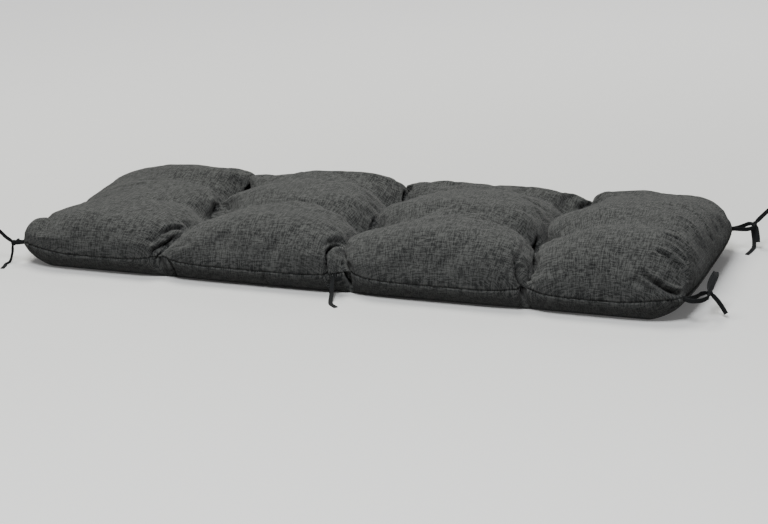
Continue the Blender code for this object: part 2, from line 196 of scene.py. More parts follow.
# How far in from each edge the upper panel rounds over. The front of the last field is rounder, by
# up to ROUNDER from one x to the other.
FRONT_ROUND, REAR_ROUND, LEFT_ROUND, RIGHT_ROUND = 0.085, 0.060, 0.210, 0.095
ROUNDER, ROUNDER_FROM, ROUNDER_TO = 0.060, 0.42, 0.60
# The foot that the cushion rests on, how softly the lower panel leaves it, and how full that panel is.
FOOT = {"left": -0.655, "right": 0.655, "front": -0.221, "rear": 0.221}
FOOT_SOFT, UNDER_POWER = 0.012, 0.55
# How full a lobe is beside a crease, on its left and on its right, each at the front and at the rear,
# and how it changes from one to the other along the depth.
LEFT_SWELL, RIGHT_SWELL = (1.55, 2.3), (4.0, 2.6)
SWELL_RATE, SWELL_START = 1.6, 0.5
# The valley along a row of tufts: its half width, its depth at the middle of a lobe and what is added
# towards the tufts, and the narrow fold that runs into each tuft.
ROW_HALF, ROW_LEAST, ROW_MORE = 0.062, 0.7, 1.6
ROW_FOLD_DEEP, ROW_FOLD_HALF, ROW_FOLD_FROM = 0.011, 0.026, 0.35
# A tuft draws the cloth down to its height, with a pit in the middle and a dimple under it.
TUFT_RADIUS, TUFT_HEIGHT, TUFT_PULL = 0.064, 0.038, 0.66
PIT_RADIUS, PIT_DEEP = 0.024, 0.026
DIMPLE_RADIUS, DIMPLE = 0.048, 0.012
# How far out from a crease its lips lean, over which rise above the seam, and the slit between them.
LEAN_HALF, LEAN_RISE = 0.060, 0.080
SLIT_HALF, SLIT_DEEP, SLIT_FADE = 0.008, 0.030, 0.06
# Where a crease is lifted at the front: how far out, at which share of the depth, and over how much.
LIFT_HALF, LIFT_SHARE, LIFT_SPAN = 0.10, 0.12, 0.20
CREASE_SHARES = (0.00, 0.05, 0.20, 0.37, 0.55, 0.72, 1.00)
# Each crease: its x at those shares of the depth, how far its front end is drawn in, how much higher
# its front runs, the share of the depth from which it is a narrow slit, and how far its lips lean.
CREASES = (
    {"x": (-0.384, -0.365, -0.345, -0.346, -0.358, -0.370, -0.354),
     "notch": 0.022, "lift": 0.006, "from": 0.00, "lean": -0.020},
    {"x": (0.045, 0.033, 0.030, 0.024, 0.016, 0.009, 0.010),
     "notch": 0.022, "lift": 0.016, "from": 0.02, "lean": -0.024},
    {"x": (0.419, 0.425, 0.415, 0.400, 0.388, 0.392, 0.436),
     "notch": 0.020, "lift": 0.004, "from": 0.00, "lean": -0.014},
)
# Each row of tufts: its y at both ends, and how far it sinks in each field, as a share of the height.
ROWS = (
    {"left": -0.028, "right": -0.084, "sinks": (0.05, 0.13, 0.13, 0.10)},
    {"left": 0.105, "right": 0.195, "sinks": (0.14, 0.11, 0.10, 0.03)},
)
# Crown heights of the lobes from left to right, one row of the table for each row of lobes.
CROWNS = (
    {"row": "front", "share": 0.18, "heights": (0.122, 0.136, 0.140, 0.153)},
    {"row": "middle", "share": 0.55, "heights": (0.120, 0.140, 0.142, 0.147)},
    {"row": "rear", "share": 0.88, "heights": (0.118, 0.126, 0.121, 0.127)},
)
# The height of a crease's bottom along its run: low at the tufts, higher between them.
CREASE_RUN = (
    {"at": "front edge", "share": 0.00, "height": 0.052},
    {"at": "front lobes", "share": 0.20, "height": 0.070},
    {"at": "front tuft", "share": 0.37, "height": 0.040},
    {"at": "middle lobes", "share": 0.55, "height": 0.076},
    {"at": "rear tuft", "share": 0.72, "height": 0.042},
    {"at": "rear lobes", "share": 0.88, "height": 0.099},
    {"at": "rear edge", "share": 1.00, "height": 0.103},
)
# Places where the real cushion is flatter than its lobes, or fuller where deep is below 0. They
# begin a little way in from the edge.
DENTS = (
    {"at": "left end", "x": -0.690, "y": -0.010, "radius": 0.130, "deep": 0.013},
    {"at": "front left corner", "x": -0.718, "y": -0.206, "radius": 0.054, "deep": -0.016},
    {"at": "second field, rear left", "x": -0.295, "y": 0.210, "radius": 0.085, "deep": 0.013},
)
DENTS_IN = 0.010
FIELDS = len(CREASES) + 1
# Grid steps across each field and over the depth. Their spacing closes up towards seams and creases.
FIELD_STEPS, DEPTH_STEPS, CLOSING_POWER = 112, 192, 1.25


# %% Curves and bells
def through(at, places, values):
    """A smooth curve through (places, values): cubic pieces with mean slopes."""
    places, values = np.asarray(places, float), np.asarray(values, float)
    slopes = np.gradient(values, places)
    i = np.clip(np.searchsorted(places, at) - 1, 0, len(places) - 2)
    wide = places[i + 1] - places[i]
    t = np.clip((at - places[i]) / wide, 0, 1)
    rise = values[i + 1] - values[i]
    bend = slopes[i] * wide * (1 - t) - slopes[i + 1] * wide * t + rise * (2 * t - 1)
    return values[i] + rise * t + t * (1 - t) * bend


def rounded(distance, radius):
    """A quarter of an ellipse: 0 at the edge, rising upright, 1 from radius inwards."""
    t = np.clip(distance / radius, 0, 1)
    return np.sqrt(1 - (1 - t) ** 2)


def bell(distance, radius):
    """(1 - (distance / radius)^2)^2: 1 at the middle and exactly 0 from radius outwards."""
    return np.clip(1 - (distance / radius) ** 2, 0, 1) ** 2


def closing(steps):
    """Places from -1 to 1 that close up towards both ends. Where u is the even way in from an end,
    as a share, the place is cos(quarter turn * u^1.25) from the middle."""
    even = np.linspace(-1, 1, steps + 1)
    from_end = 1 - np.abs(even)
    return np.sign(even) * np.cos(np.pi / 2 * from_end**CLOSING_POWER)


def crease_line(crease, share):
    """The x of a crease at a share of the depth."""
    return through(share, CREASE_SHARES, crease["x"])


# %% [markdown]
# ### The plan
# Both panels share one grid in plan. Its columns follow the creases and its rows follow the edges,
# so a seam or crease is always a line of points and can be drawn in sharply.

# %% Lay out the plan
def plan():
    """The grid's x and y, its share of the depth and its field, its place across the field (from -1 to
    1, or 0 on the side of an end), and its distances from the front, rear, left and right edge."""
    share = 0.5 + 0.5 * closing(DEPTH_STEPS)[:, None]
    side = np.abs(2 * share - 1) ** DRAW_POWER
    left = -LENGTH / 2 + END_DRAW * side + END_DENT * bell(share - DENT_SHARE, DENT_HALF)
    right = LENGTH / 2 - END_DRAW * side
    bounds = np.hstack([left, *(crease_line(crease, share) for crease in CREASES), right])
    places = closing(FIELD_STEPS)
    across = np.append(np.tile(places[:-1], FIELDS), 1)
    field = np.append(np.repeat(np.arange(FIELDS), FIELD_STEPS), FIELDS - 1)
    low, high = bounds[:, field], bounds[:, field + 1]
    x = low + (high - low) * (across + 1) / 2
    outer = ((field == 0) & (across < 0)) | ((field == FIELDS - 1) & (across > 0))
    drawn = CORNER_DRAW * np.abs(across) ** DRAW_POWER
    notched = np.abs(across) ** NOTCH_POWER
    nearest = np.clip(field - (across < 0), 0, len(CREASES) - 1)
    front_notch = np.array([crease["notch"] for crease in CREASES])[nearest]
    front = -DEPTH / 2 + np.where(outer, drawn, front_notch * notched)
    rear = DEPTH / 2 - np.where(outer, drawn, REAR_NOTCH * notched)
    y = front + (rear - front) * share
    edges = [np.maximum(edge, 0) for edge in (y - front, rear - y, x - left, right - x)]
    return x, y, share, field, np.where(outer, 0, across), edges


def tuft_places():
    """Where each row of tufts crosses each crease."""
    places = []
    for row in ROWS:
        for crease in CREASES:
            y = row["left"] + (row["right"] - row["left"]) * (crease["x"][0] / LENGTH + 0.5)
            places.append((float(crease_line(crease, y / DEPTH + 0.5)), y))
    return places


x, y, share, field, across, edges = plan()
TUFTS = tuft_places()
to_tufts = [np.hypot(x - tuft_x, y - tuft_y) for tuft_x, tuft_y in TUFTS]
print("grid", x.shape, "tufts", [tuple(np.round(place, 3)) for place in TUFTS])


# %% [markdown]
# ### Height of the two panels
# A lobe is a bridge between two creases: high in the middle and dropping upright into each crease.
# Rows of tufts sink shallow valleys into it, and each tuft draws the cloth down around itself. The
# fullness beside a crease differs on its two sides, because each field hangs over its left neighbour.
# The lower panel comes down to a flat foot that the cushion rests on.

# %% Work out both panels
def seam_height():
    """Height of the edge seam: level, but sagging along the front between the creases."""
    ends = (1 - bell(edges[2], SAG_ENDS)) * (1 - bell(edges[3], SAG_ENDS))
    front = np.clip(1 - share / SAG_SHARE, 0, 1) ** 2
    return SEAM_HEIGHT - SEAM_SAG * (1 - across**4) * ends * front


def upper_height():
    """Crown between creases, sunk along the rows and round the tufts, rounded over at the edges."""
    stations = [row["share"] for row in CROWNS]
    by_field = np.array([row["heights"] for row in CROWNS]).T
    crown = np.hstack([through(share, stations, heights) for heights in by_field])[:, field]
    for row in ROWS:
        valley = row["left"] + (row["right"] - row["left"]) * (x / LENGTH + 0.5)
        sink = np.array(row["sinks"])[field] * (ROW_LEAST + ROW_MORE * np.abs(across) ** 3)
        crown = crown * (1 - sink * bell(y - valley, ROW_HALF))
        near_tuft = np.clip((np.abs(across) - ROW_FOLD_FROM) / (1 - ROW_FOLD_FROM), 0, 1)
        fold = np.clip(1 - np.abs(y - valley) / ROW_FOLD_HALF, 0, 1) ** 2
        crown = crown - ROW_FOLD_DEEP * near_tuft * fold
    low = through(share, [row["share"] for row in CREASE_RUN], [row["height"] for row in CREASE_RUN])
    for crease in CREASES:
        near = bell(x - crease_line(crease, share), LIFT_HALF)
        low = low + crease["lift"] * near * bell(share - LIFT_SHARE, LIFT_SPAN)
    to_rear = np.clip(SWELL_RATE * share - SWELL_START, 0, 1)
    power = [front + (rear - front) * to_rear for front, rear in (LEFT_SWELL, RIGHT_SWELL)]
    power = np.where(across < 0, power[0], power[1])
    height = low + (crown - low) * np.sqrt(1 - np.abs(across) ** power)
    for distance in to_tufts:
        height = height - (height - TUFT_HEIGHT) * TUFT_PULL * bell(distance, TUFT_RADIUS)
        height = height - PIT_DEEP * bell(distance, PIT_RADIUS)
    for crease in CREASES:
        off = np.abs(x - crease_line(crease, share)) / SLIT_HALF
        runs = np.clip((share - crease["from"]) / SLIT_FADE + 1, 0, 1)
        height = height - SLIT_DEEP * np.clip(1 - off, 0, 1) ** 2 * runs
    in_last = np.clip((x - ROUNDER_FROM) / (ROUNDER_TO - ROUNDER_FROM), 0, 1)
    radii = (FRONT_ROUND + ROUNDER * in_last, REAR_ROUND, LEFT_ROUND, RIGHT_ROUND)
    over = np.prod([rounded(edge, radius) for edge, radius in zip(edges, radii)], axis=0)
    height = seam_height() + (height - seam_height()) * over
    inwards = np.clip(np.min(edges, axis=0) / DENTS_IN, 0, 1)
    for dent in DENTS:
        near = bell(np.hypot(x - dent["x"], y - dent["y"]), dent["radius"])
        height = height - dent["deep"] * inwards * near
    return height


def lower_height():
    """Seam height at the edge, down to 0 on the foot, with a dimple over each tuft."""
    outside = (FOOT["front"] - y, y - FOOT["rear"], FOOT["left"] - x, x - FOOT["right"])
    outside = [np.maximum(off, 0) ** 2 / (np.maximum(off, 0) + FOOT_SOFT) for off in outside]
    shares = [edge / (edge + off) for edge, off in zip(edges, outside)]
    down = np.prod(shares, axis=0) ** UNDER_POWER
    dimples = DIMPLE * sum(bell(distance, DIMPLE_RADIUS) for distance in to_tufts)
    return seam_height() * (1 - down) + dimples


def leaning(height):
    """x, moved so that the lips of each crease lean to the left the more the higher they are."""
    lean = sum(crease["lean"] * bell(x - crease_line(crease, share), LEAN_HALF) for crease in CREASES)
    for distance in to_tufts:
        lean = lean * (1 - bell(distance, TUFT_RADIUS))
    return x + lean * np.clip((height - SEAM_HEIGHT) / LEAN_RISE, 0, 1)


height = upper_height()
upper = np.stack([leaning(height), y, height], axis=2)
lower = np.stack([x, y, lower_height()], axis=2)
print("crown", round(float(height.max()), 4))


# %% [markdown]
# ### Folds and gathers
# Where a crease runs out over the front edge the cloth has nowhere to go, so it lies in folds. They
# could be sculpted with a brush. Here each is a line of places on the cushion with a half width and a
# depth. The cloth is pressed in along the line, in a sharp valley, and stands up a little beside it in
# two lips, as high as the fold's own share of its depth says. A round one is a soft hollow, as where
# the cloth dives into a pit. Each line is first moved onto the cloth.

# %% Places and sizes of the folds
FOLDS = (
    {"at": "crease 1, upper", "half": 0.011, "deep": 0.014, "lips": 0.12,
     "by": ((-0.347, -0.174, 0.097), (-0.370, -0.168, 0.089), (-0.381, -0.185, 0.092),
            (-0.389, -0.199, 0.090), (-0.395, -0.215, 0.084))},
    {"at": "crease 1, beside the lip", "half": 0.009, "deep": 0.014, "lips": 0.12,
     "by": ((-0.356, -0.201, 0.088), (-0.367, -0.203, 0.079), (-0.383, -0.211, 0.069),
            (-0.388, -0.226, 0.064), (-0.397, -0.239, 0.061), (-0.400, -0.245, 0.052),
            (-0.402, -0.247, 0.042))},
    {"at": "crease 1, along the lip", "half": 0.006, "deep": 0.006,
     "by": ((-0.382, -0.217, 0.059), (-0.386, -0.230, 0.053), (-0.389, -0.239, 0.046),
            (-0.396, -0.243, 0.039))},
    {"at": "crease 1, front notch", "half": 0.009, "deep": 0.020, "lips": 0.0,
     "by": ((-0.367, -0.245, 0.043), (-0.359, -0.247, 0.037), (-0.354, -0.243, 0.022),
            (-0.358, -0.219, 0.000))},
    {"at": "crease 1, front pit", "half": 0.022, "deep": 0.026, "round": True,
     "by": ((-0.374, 0.043, 0.088), (-0.366, 0.008, 0.084), (-0.366, -0.012, 0.076),
            (-0.370, -0.026, 0.070))},
    {"at": "crease 1, rear", "half": 0.012, "deep": 0.030, "round": True,
     "by": ((-0.362, 0.238, 0.094), (-0.366, 0.208, 0.090), (-0.371, 0.178, 0.080),
            (-0.373, 0.150, 0.070))},
    {"at": "crease 2, left of the pleat", "half": 0.0065, "deep": 0.036, "lips": 0.08,
     "by": ((0.025, -0.194, 0.097), (0.019, -0.193, 0.095), (0.014, -0.206, 0.098),
            (0.008, -0.215, 0.099), (0.003, -0.225, 0.096), (0.002, -0.235, 0.088),
            (0.000, -0.245, 0.075), (-0.001, -0.250, 0.064), (0.001, -0.252, 0.053),
            (0.001, -0.252, 0.038), (0.002, -0.245, 0.018))},
    {"at": "crease 2, shoulder of the pleat", "half": 0.016, "deep": 0.006,
     "by": ((0.022, -0.185, 0.103), (0.012, -0.199, 0.103), (0.003, -0.212, 0.104),
            (-0.002, -0.224, 0.100))},
    {"at": "crease 2, right of the pleat", "half": 0.009, "deep": 0.030, "lips": 0.0,
     "by": ((0.031, -0.222, 0.074), (0.032, -0.230, 0.064), (0.036, -0.238, 0.054),
            (0.040, -0.236, 0.040), (0.043, -0.232, 0.024), (0.044, -0.225, 0.006))},
    {"at": "crease 2, front pit", "half": 0.007, "deep": 0.016, "round": True,
     "by": ((0.002, 0.020, 0.085), (0.006, 0.000, 0.079), (0.008, -0.020, 0.073))},
    {"at": "crease 2, rear", "half": 0.009, "deep": 0.024, "round": True,
     "by": ((0.013, 0.202, 0.097), (-0.002, 0.211, 0.081), (-0.001, 0.186, 0.077))},
    {"at": "crease 3, front pit", "half": 0.011, "deep": 0.032, "round": True,
     "by": ((0.382, -0.027, 0.078), (0.383, -0.037, 0.071), (0.380, -0.053, 0.064))},
    {"at": "crease 3, slit", "half": 0.009, "deep": 0.034, "lips": 0.08,
     "by": ((0.399, -0.117, 0.080), (0.406, -0.138, 0.079), (0.412, -0.168, 0.079),
            (0.417, -0.187, 0.074))},
    {"at": "crease 3, corner", "half": 0.006, "deep": 0.009,
     "by": ((0.414, -0.209, 0.079), (0.416, -0.217, 0.071), (0.426, -0.232, 0.063),
            (0.434, -0.245, 0.058))},
    {"at": "crease 3, left", "half": 0.012, "deep": 0.027, "lips": 0.15,
     "by": ((0.392, -0.214, 0.104), (0.395, -0.225, 0.093), (0.400, -0.232, 0.081),
            (0.405, -0.236, 0.068), (0.409, -0.240, 0.055), (0.412, -0.241, 0.042),
            (0.412, -0.238, 0.028), (0.411, -0.232, 0.012))},
    {"at": "crease 3, rear", "half": 0.009, "deep": 0.024, "round": True,
     "by": ((0.424, 0.224, 0.090), (0.410, 0.216, 0.084), (0.397, 0.206, 0.078))},
    {"at": "right end, first", "half": 0.008, "deep": 0.015,
     "by": ((0.665, -0.136, 0.148), (0.680, -0.134, 0.141), (0.694, -0.128, 0.132),
            (0.706, -0.130, 0.121), (0.715, -0.135, 0.110), (0.723, -0.141, 0.095))},
    {"at": "right end, second", "half": 0.008, "deep": 0.017,
     "by": ((0.670, -0.196, 0.140), (0.690, -0.195, 0.128), (0.703, -0.192, 0.116),
            (0.713, -0.190, 0.104), (0.719, -0.191, 0.092), (0.723, -0.194, 0.079))},
    {"at": "right end, third", "half": 0.007, "deep": 0.013,
     "by": ((0.680, -0.170, 0.140), (0.704, -0.166, 0.122), (0.715, -0.167, 0.106),
            (0.723, -0.172, 0.088), (0.728, -0.178, 0.072))},
    {"at": "right end, fourth", "half": 0.008, "deep": 0.013,
     "by": ((0.658, -0.090, 0.146), (0.675, -0.092, 0.138), (0.690, -0.098, 0.129),
            (0.708, -0.105, 0.114), (0.720, -0.112, 0.098))},
    {"at": "right end, fifth", "half": 0.009, "deep": 0.011,
     "by": ((0.661, -0.031, 0.146), (0.682, -0.030, 0.139), (0.702, -0.034, 0.125),
            (0.715, -0.047, 0.109))},
    {"at": "right end, sixth", "half": 0.009, "deep": 0.009,
     "by": ((0.660, 0.060, 0.142), (0.685, 0.045, 0.134), (0.704, 0.034, 0.121),
            (0.719, 0.028, 0.104))},
    {"at": "front right corner, upper", "half": 0.010, "deep": 0.017,
     "by": ((0.644, -0.241, 0.102), (0.660, -0.243, 0.091), (0.675, -0.244, 0.080),
            (0.691, -0.241, 0.071), (0.705, -0.236, 0.063), (0.719, -0.228, 0.056))},
    {"at": "front right corner, lower", "half": 0.012, "deep": 0.005,
     "by": ((0.625, -0.247, 0.089), (0.647, -0.249, 0.080), (0.671, -0.247, 0.070),
            (0.693, -0.243, 0.060))},
    {"at": "lower panel, field 2", "half": 0.009, "deep": 0.005,
     "by": ((-0.149, -0.255, 0.036), (-0.141, -0.252, 0.029), (-0.141, -0.239, 0.011))},
)
# One half width away from a fold the cloth stands up, by this share of the fold's depth where the fold
# has no share of its own, and this lip reaches so many half widths either way. A fold fades over a fifth
# of its length at each end, to a quarter.
LIP_SHARE, LIP_REACH = 0.28, 0.8
FOLD_ENDS, FOLD_LEAST = 5, 0.25
# Folds end before the corners, where the ties are sewn in, and above where the cloth lies on the floor.
CORNER_HOLD, OFF_FLOOR = 0.012, 0.002
# Least thickness, and how far from the edge it is reached.
THINNEST, THINNEST_FROM = 0.006, 0.030
TINY = 1e-12


# %% Valleys along lines
def along_line(surface, by):
    """For each point of a grid: its distance from a line of places, and how far along the line it is."""
    by = np.array(by)
    spans = np.linalg.norm(np.diff(by, axis=0), axis=1)
    ends = np.concatenate([[0], np.cumsum(spans)])
    nearest = np.full(surface.shape[:2], np.inf)
    reached = np.zeros(surface.shape[:2])
    for start, end, span, before in zip(by[:-1], by[1:], spans, ends):
        run = end - start
        t = np.clip(((surface - start) @ run) / span**2, 0, 1)
        off = np.linalg.norm(surface - start - t[:, :, None] * run, axis=2)
        closer = off < nearest
        nearest = np.where(closer, off, nearest)
        reached = np.where(closer, (before + t * span) / ends[-1], reached)
    return nearest, reached


def onto(surface, by):
    """Each place of a line moved to the nearest point of a grid, so the whole line lies on the cloth."""
    flat = surface.reshape(-1, 3)
    return [flat[np.argmin(np.linalg.norm(flat - place, axis=1))] for place in by]


def fold_depth(surface, cloth):
    """Sum over the folds of depth times a valley that fades at its ends: (1 - off / half)^2 less the
    lips, which are a bell one half width off the line, or for a round fold a bell alone."""
    depth = np.zeros(surface.shape[:2])
    for fold in FOLDS:
        off, reached = along_line(surface, onto(cloth, fold["by"]))
        off = off / fold["half"]
        if fold.get("round"):
            valley = bell(off, 1)
        else:
            valley = np.clip(1 - off, 0, 1) ** 2 - fold.get("lips", LIP_SHARE) * bell(off - 1, LIP_REACH)
        fade = np.clip(FOLD_ENDS * reached, 0, 1) * np.clip(FOLD_ENDS * (1 - reached), 0, 1)
        depth = depth + fold["deep"] * valley * (FOLD_LEAST + (1 - FOLD_LEAST) * fade)
    return depth


def unit(vectors):
    """Vectors brought to length 1, each divided by its own."""
    return vectors / np.maximum(np.linalg.norm(vectors, axis=-1, keepdims=True), TINY)


def grid_normals(surface):
    """Outward directions of a grid of points: the cross product of its two tangents."""
    return unit(np.cross(np.gradient(surface, axis=1), np.gradient(surface, axis=0)))


def borders(grid):
    """The outermost rows and columns of a grid, as a mask."""
    mask = np.zeros(grid.shape[:2], bool)
    mask[0], mask[-1], mask[:, 0], mask[:, -1] = True, True, True, True
    return mask


# %% Press in the folds
rim = borders(x)
both = np.concatenate([upper, lower])
corner_hold = 1
for corner in ((0, 0), (0, -1), (-1, 0), (-1, -1)):
    corner_hold = corner_hold * (1 - bell(np.linalg.norm(upper - upper[corner], axis=2), CORNER_HOLD))
upper_fold = fold_depth(upper, both) * corner_hold
lower_fold = fold_depth(lower, both) * (lower[:, :, 2] > OFF_FLOOR) * ~rim
upper = upper - grid_normals(upper) * upper_fold[:, :, None]
lower = lower + grid_normals(lower) * lower_fold[:, :, None]
lower[:, :, 2] = np.maximum(lower[:, :, 2], 0)
lower[rim] = upper[rim]
# The two panels never meet away from the seam, however deep a tuft is.
apart = THINNEST * np.clip(np.min(edges, axis=0) / THINNEST_FROM, 0, 1)
upper[:, :, 2] = np.maximum(upper[:, :, 2], lower[:, :, 2] + apart)
print("folds", len(FOLDS), "deepest", round(float(upper_fold.max()), 4))

# %% [markdown]
# ### Slack
# Real cloth has more length than the filling needs, so it ripples beside each seam. Blender's Cloth
# gives that: on a coarse grid, the panels are made a little larger than the shape they are on, held at
# the seams, creases and tufts, and blown up. How far each point moved is read back onto the fine grid.
# The broad part of that is taken out again and the rest is capped, so no lobe drifts from its size.

# %% Simulate the slack
SLACK_FIELD_STEPS, SLACK_DEPTH_STEPS = 42, 58
SLACK_FRAMES, PRESSURE = 20, 4.0
# How much longer the cloth is, the cap on its moves, and how far out a tuft holds it.
SLACK_SHARE, SLACK_CAP, TUFT_HOLD = 0.045, 0.009, 0.03
# The broad part of the moves is their mean with their neighbours, taken this many times.
SWELL_STEPS = 36
CLOTH_SETTINGS = {
    "vertex_group_mass": "held", "use_pressure": True, "uniform_pressure_force": PRESSURE,
    "shrink_min": -SLACK_SHARE, "shrink_max": -SLACK_SHARE, "quality": 4, "mass": 0.3,
    "tension_stiffness": 20, "compression_stiffness": 20, "shear_stiffness": 8,
    "bending_stiffness": 0.8, "air_damping": 6,
}


def panel_faces(rows, columns):
    """Two grids that share their border: the numbers of the upper one's points, and all faces."""
    top = np.arange(rows * columns).reshape(rows, columns)
    under = top.copy()
    under[1:-1, 1:-1] = rows * columns + np.arange((rows - 2) * (columns - 2)).reshape(rows - 2, -1)
    up = np.stack([top[:-1, :-1], top[:-1, 1:], top[1:, 1:], top[1:, :-1]], axis=2)
    down = np.stack([under[:-1, :-1], under[1:, :-1], under[1:, 1:], under[:-1, 1:]], axis=2)
    return top, np.concatenate([up.reshape(-1, 4), down.reshape(-1, 4)]).tolist()


def even_picks(places, steps):
    """Numbers of the grid places that lie nearest to even steps."""
    wanted = np.linspace(places[0], places[-1], steps + 1)
    return np.unique(np.abs(places[:, None] - wanted[None, :]).argmin(axis=0))


def simulated(top_grid, under_grid, held):
    """Run Cloth on the two panels and return how far each point of the upper one moved."""
    rows, columns = top_grid.shape[:2]
    points = np.concatenate([top_grid.reshape(-1, 3), under_grid[1:-1, 1:-1].reshape(-1, 3)])
    top, faces = panel_faces(rows, columns)
    dummy = new_mesh("slack", points, faces)
    pins = dummy.vertex_groups.new(name="held")
    strength = np.round(np.concatenate([held.reshape(-1), np.ones((rows - 2) * (columns - 2))]), 2)
    for level in np.unique(strength[strength > 0]):
        pins.add(np.flatnonzero(strength == level).tolist(), float(level), "REPLACE")
    cloth = dummy.modifiers.new("cloth", "CLOTH")
    for key, value in CLOTH_SETTINGS.items():
        setattr(cloth.settings, key, value)
    cloth.settings.effector_weights.gravity = 0
    cloth.point_cache.frame_start, cloth.point_cache.frame_end = 1, SLACK_FRAMES
    for step in range(1, SLACK_FRAMES + 1):
        bpy.context.scene.frame_set(step)
    moved = dummy.evaluated_get(bpy.context.evaluated_depsgraph_get())
    after = np.empty(len(points) * 3)
    moved.data.vertices.foreach_get("co", after)
    shift = after.reshape(-1, 3) - points
    bpy.context.scene.frame_set(1)
    bpy.data.objects.remove(dummy)
    lost = ~np.isfinite(shift).all(axis=1)
    print("points simulated", len(points), "and lost", int(lost.sum()))
    shift[lost] = 0
    return shift[top]


def softened(grid, times):
    """Each point of a grid averaged with its neighbours, many times over."""
    for _ in range(times):
        inner = grid[1:-1, 1:-1]
        around = grid[:-2, 1:-1] + grid[2:, 1:-1] + grid[1:-1, :-2] + grid[1:-1, 2:]
        grid = grid.copy()
        grid[1:-1, 1:-1] = inner / 2 + around / 8
    return grid


def finer(coarse, at_rows, at_columns):
    """A coarse grid of vectors read between its own points, at the given row and column numbers."""
    r = np.clip(at_rows.astype(int), 0, coarse.shape[0] - 2)
    c = np.clip(at_columns.astype(int), 0, coarse.shape[1] - 2)
    tr, tc = (at_rows - r)[:, None, None], (at_columns - c)[None, :, None]
    near = coarse[r][:, c] * (1 - tc) + coarse[r][:, c + 1] * tc
    far = coarse[r + 1][:, c] * (1 - tc) + coarse[r + 1][:, c + 1] * tc
    return near * (1 - tr) + far * tr


# %% Add the slack
in_field = even_picks(closing(FIELD_STEPS), SLACK_FIELD_STEPS)
columns = np.unique(np.concatenate([in_field + FIELD_STEPS * each for each in range(FIELDS)]))
rows = even_picks(closing(DEPTH_STEPS), SLACK_DEPTH_STEPS)
picked = np.ix_(rows, columns)
# Where each fine row and column lies among the picked ones.
spots = np.append(np.add.outer(2 * np.arange(FIELDS), closing(FIELD_STEPS)[:-1]), 2 * FIELDS - 1)
at_columns = np.interp(spots, spots[columns], np.arange(len(columns)))
at_rows = np.interp(share[:, 0], share[rows, 0], np.arange(len(rows)))
held = rim.astype(float)
held[:, FIELD_STEPS:-1:FIELD_STEPS] = 1
for distance in to_tufts:
    held = np.maximum(held, bell(distance, TUFT_HOLD))
shift = simulated(upper[picked], lower[picked], held[picked])
shift = shift - softened(shift, SWELL_STEPS)
length = np.linalg.norm(shift, axis=2, keepdims=True)
shift = shift * np.minimum(1, SLACK_CAP / np.maximum(length, TINY))
print("slack moved up to", round(float(length.max()), 4), "before the cap")
upper = upper + finer(shift, at_rows, at_columns)


# %% [markdown]
# ### Puckers and the seam
# Sewing takes in a little more of one layer than of the other, so the cloth puckers at right angles
# to each seam every centimetre or two, unevenly. The seam itself is a narrow line drawn inwards. Both
# depend only on how far a point is from the seam along the cloth, and on where along the seam it is.

# %% Uneven waves
# Puckers beside the creases and beside the seam: their length, depth and reach, and where the
# creases' own begin.
PUCKER_WAVE, PUCKER_DEEP, PUCKER_REACH, PUCKER_START = 0.026, 0.0015, 0.030, 0.006
SEAM_PUCKER_WAVE, SEAM_PUCKER_DEEP, SEAM_PUCKER_REACH = 0.019, 0.0011, 0.011
SEAM_HALF, SEAM_DEEP, SEAM_READS = 0.0045, 0.0034, 600
RAY_COUNT, RAY_DEEP, RAY_START, RAY_REACH, RAY_SKEW = 9, 0.0016, 0.018, 0.085, 1.4
# Hills of the filling: their size, their height, how often they are softened, and where they begin.
LUMP_SIZE, LUMP_DEEP, LUMP_ROUNDS, LUMP_START = 0.055, 0.0022, 30, 0.02
# How waves drift: how far their phase moves and over how many waves, then how their height changes
# round its mean and over how many waves. The rays' depth changes round its mean in the same way.
PHASE_DRIFT, PHASE_SPAN = 2.2, 3
WAVE_MEAN, WAVE_CHANGE, WAVE_SPAN = 0.55, 0.45, 2.3
RAY_MEAN, RAY_CHANGE = 0.6, 0.4
SEED = 7
random = np.random.default_rng(SEED)


def uneven(at, size):
    """Smooth random numbers from -1 to 1 along a line, with humps about size long."""
    knots = random.uniform(-1, 1, int(np.ptp(at) / size) + 4)
    return through((at - at.min()) / size + 1, np.arange(len(knots)), knots)


def waves(at, size):
    """Waves about size long: cos(2 pi at / size + phase), with a phase and a height that drift."""
    phase = PHASE_DRIFT * uneven(at, PHASE_SPAN * size)
    tall = WAVE_MEAN + WAVE_CHANGE * uneven(at, WAVE_SPAN * size)
    return np.cos(2 * np.pi * at / size + phase) * tall


def cloth_distance(surface):
    """The way along the cloth from the nearest edge of a grid, measured along its rows and columns."""
    ways = []
    for axis in (0, 1):
        step = np.linalg.norm(np.diff(surface, axis=axis), axis=2)
        zero = np.zeros((1, surface.shape[1]) if axis == 0 else (surface.shape[0], 1))
        run = np.concatenate([zero, np.cumsum(step, axis=axis)], axis=axis)
        whole = run[-1:] if axis == 0 else run[:, -1:]
        ways += [run, whole - run]
    return np.min(ways, axis=0)


# %% Puckers, rays, seam and lumps
def crease_puckers():
    """Waves along each crease, another set on each side, times e^(-off / reach), and 0 on the crease."""
    depth = 0
    for crease in CREASES:
        off = x - crease_line(crease, share)
        for side in (-1, 1):
            ripple = waves(share[:, 0] * DEPTH, PUCKER_WAVE)[:, None]
            fade = np.exp(-np.abs(off) / PUCKER_REACH) * (np.sign(off) * side > 0)
            depth = depth + PUCKER_DEEP * ripple * fade * (1 - np.exp(-np.abs(off) / PUCKER_START))
    return depth


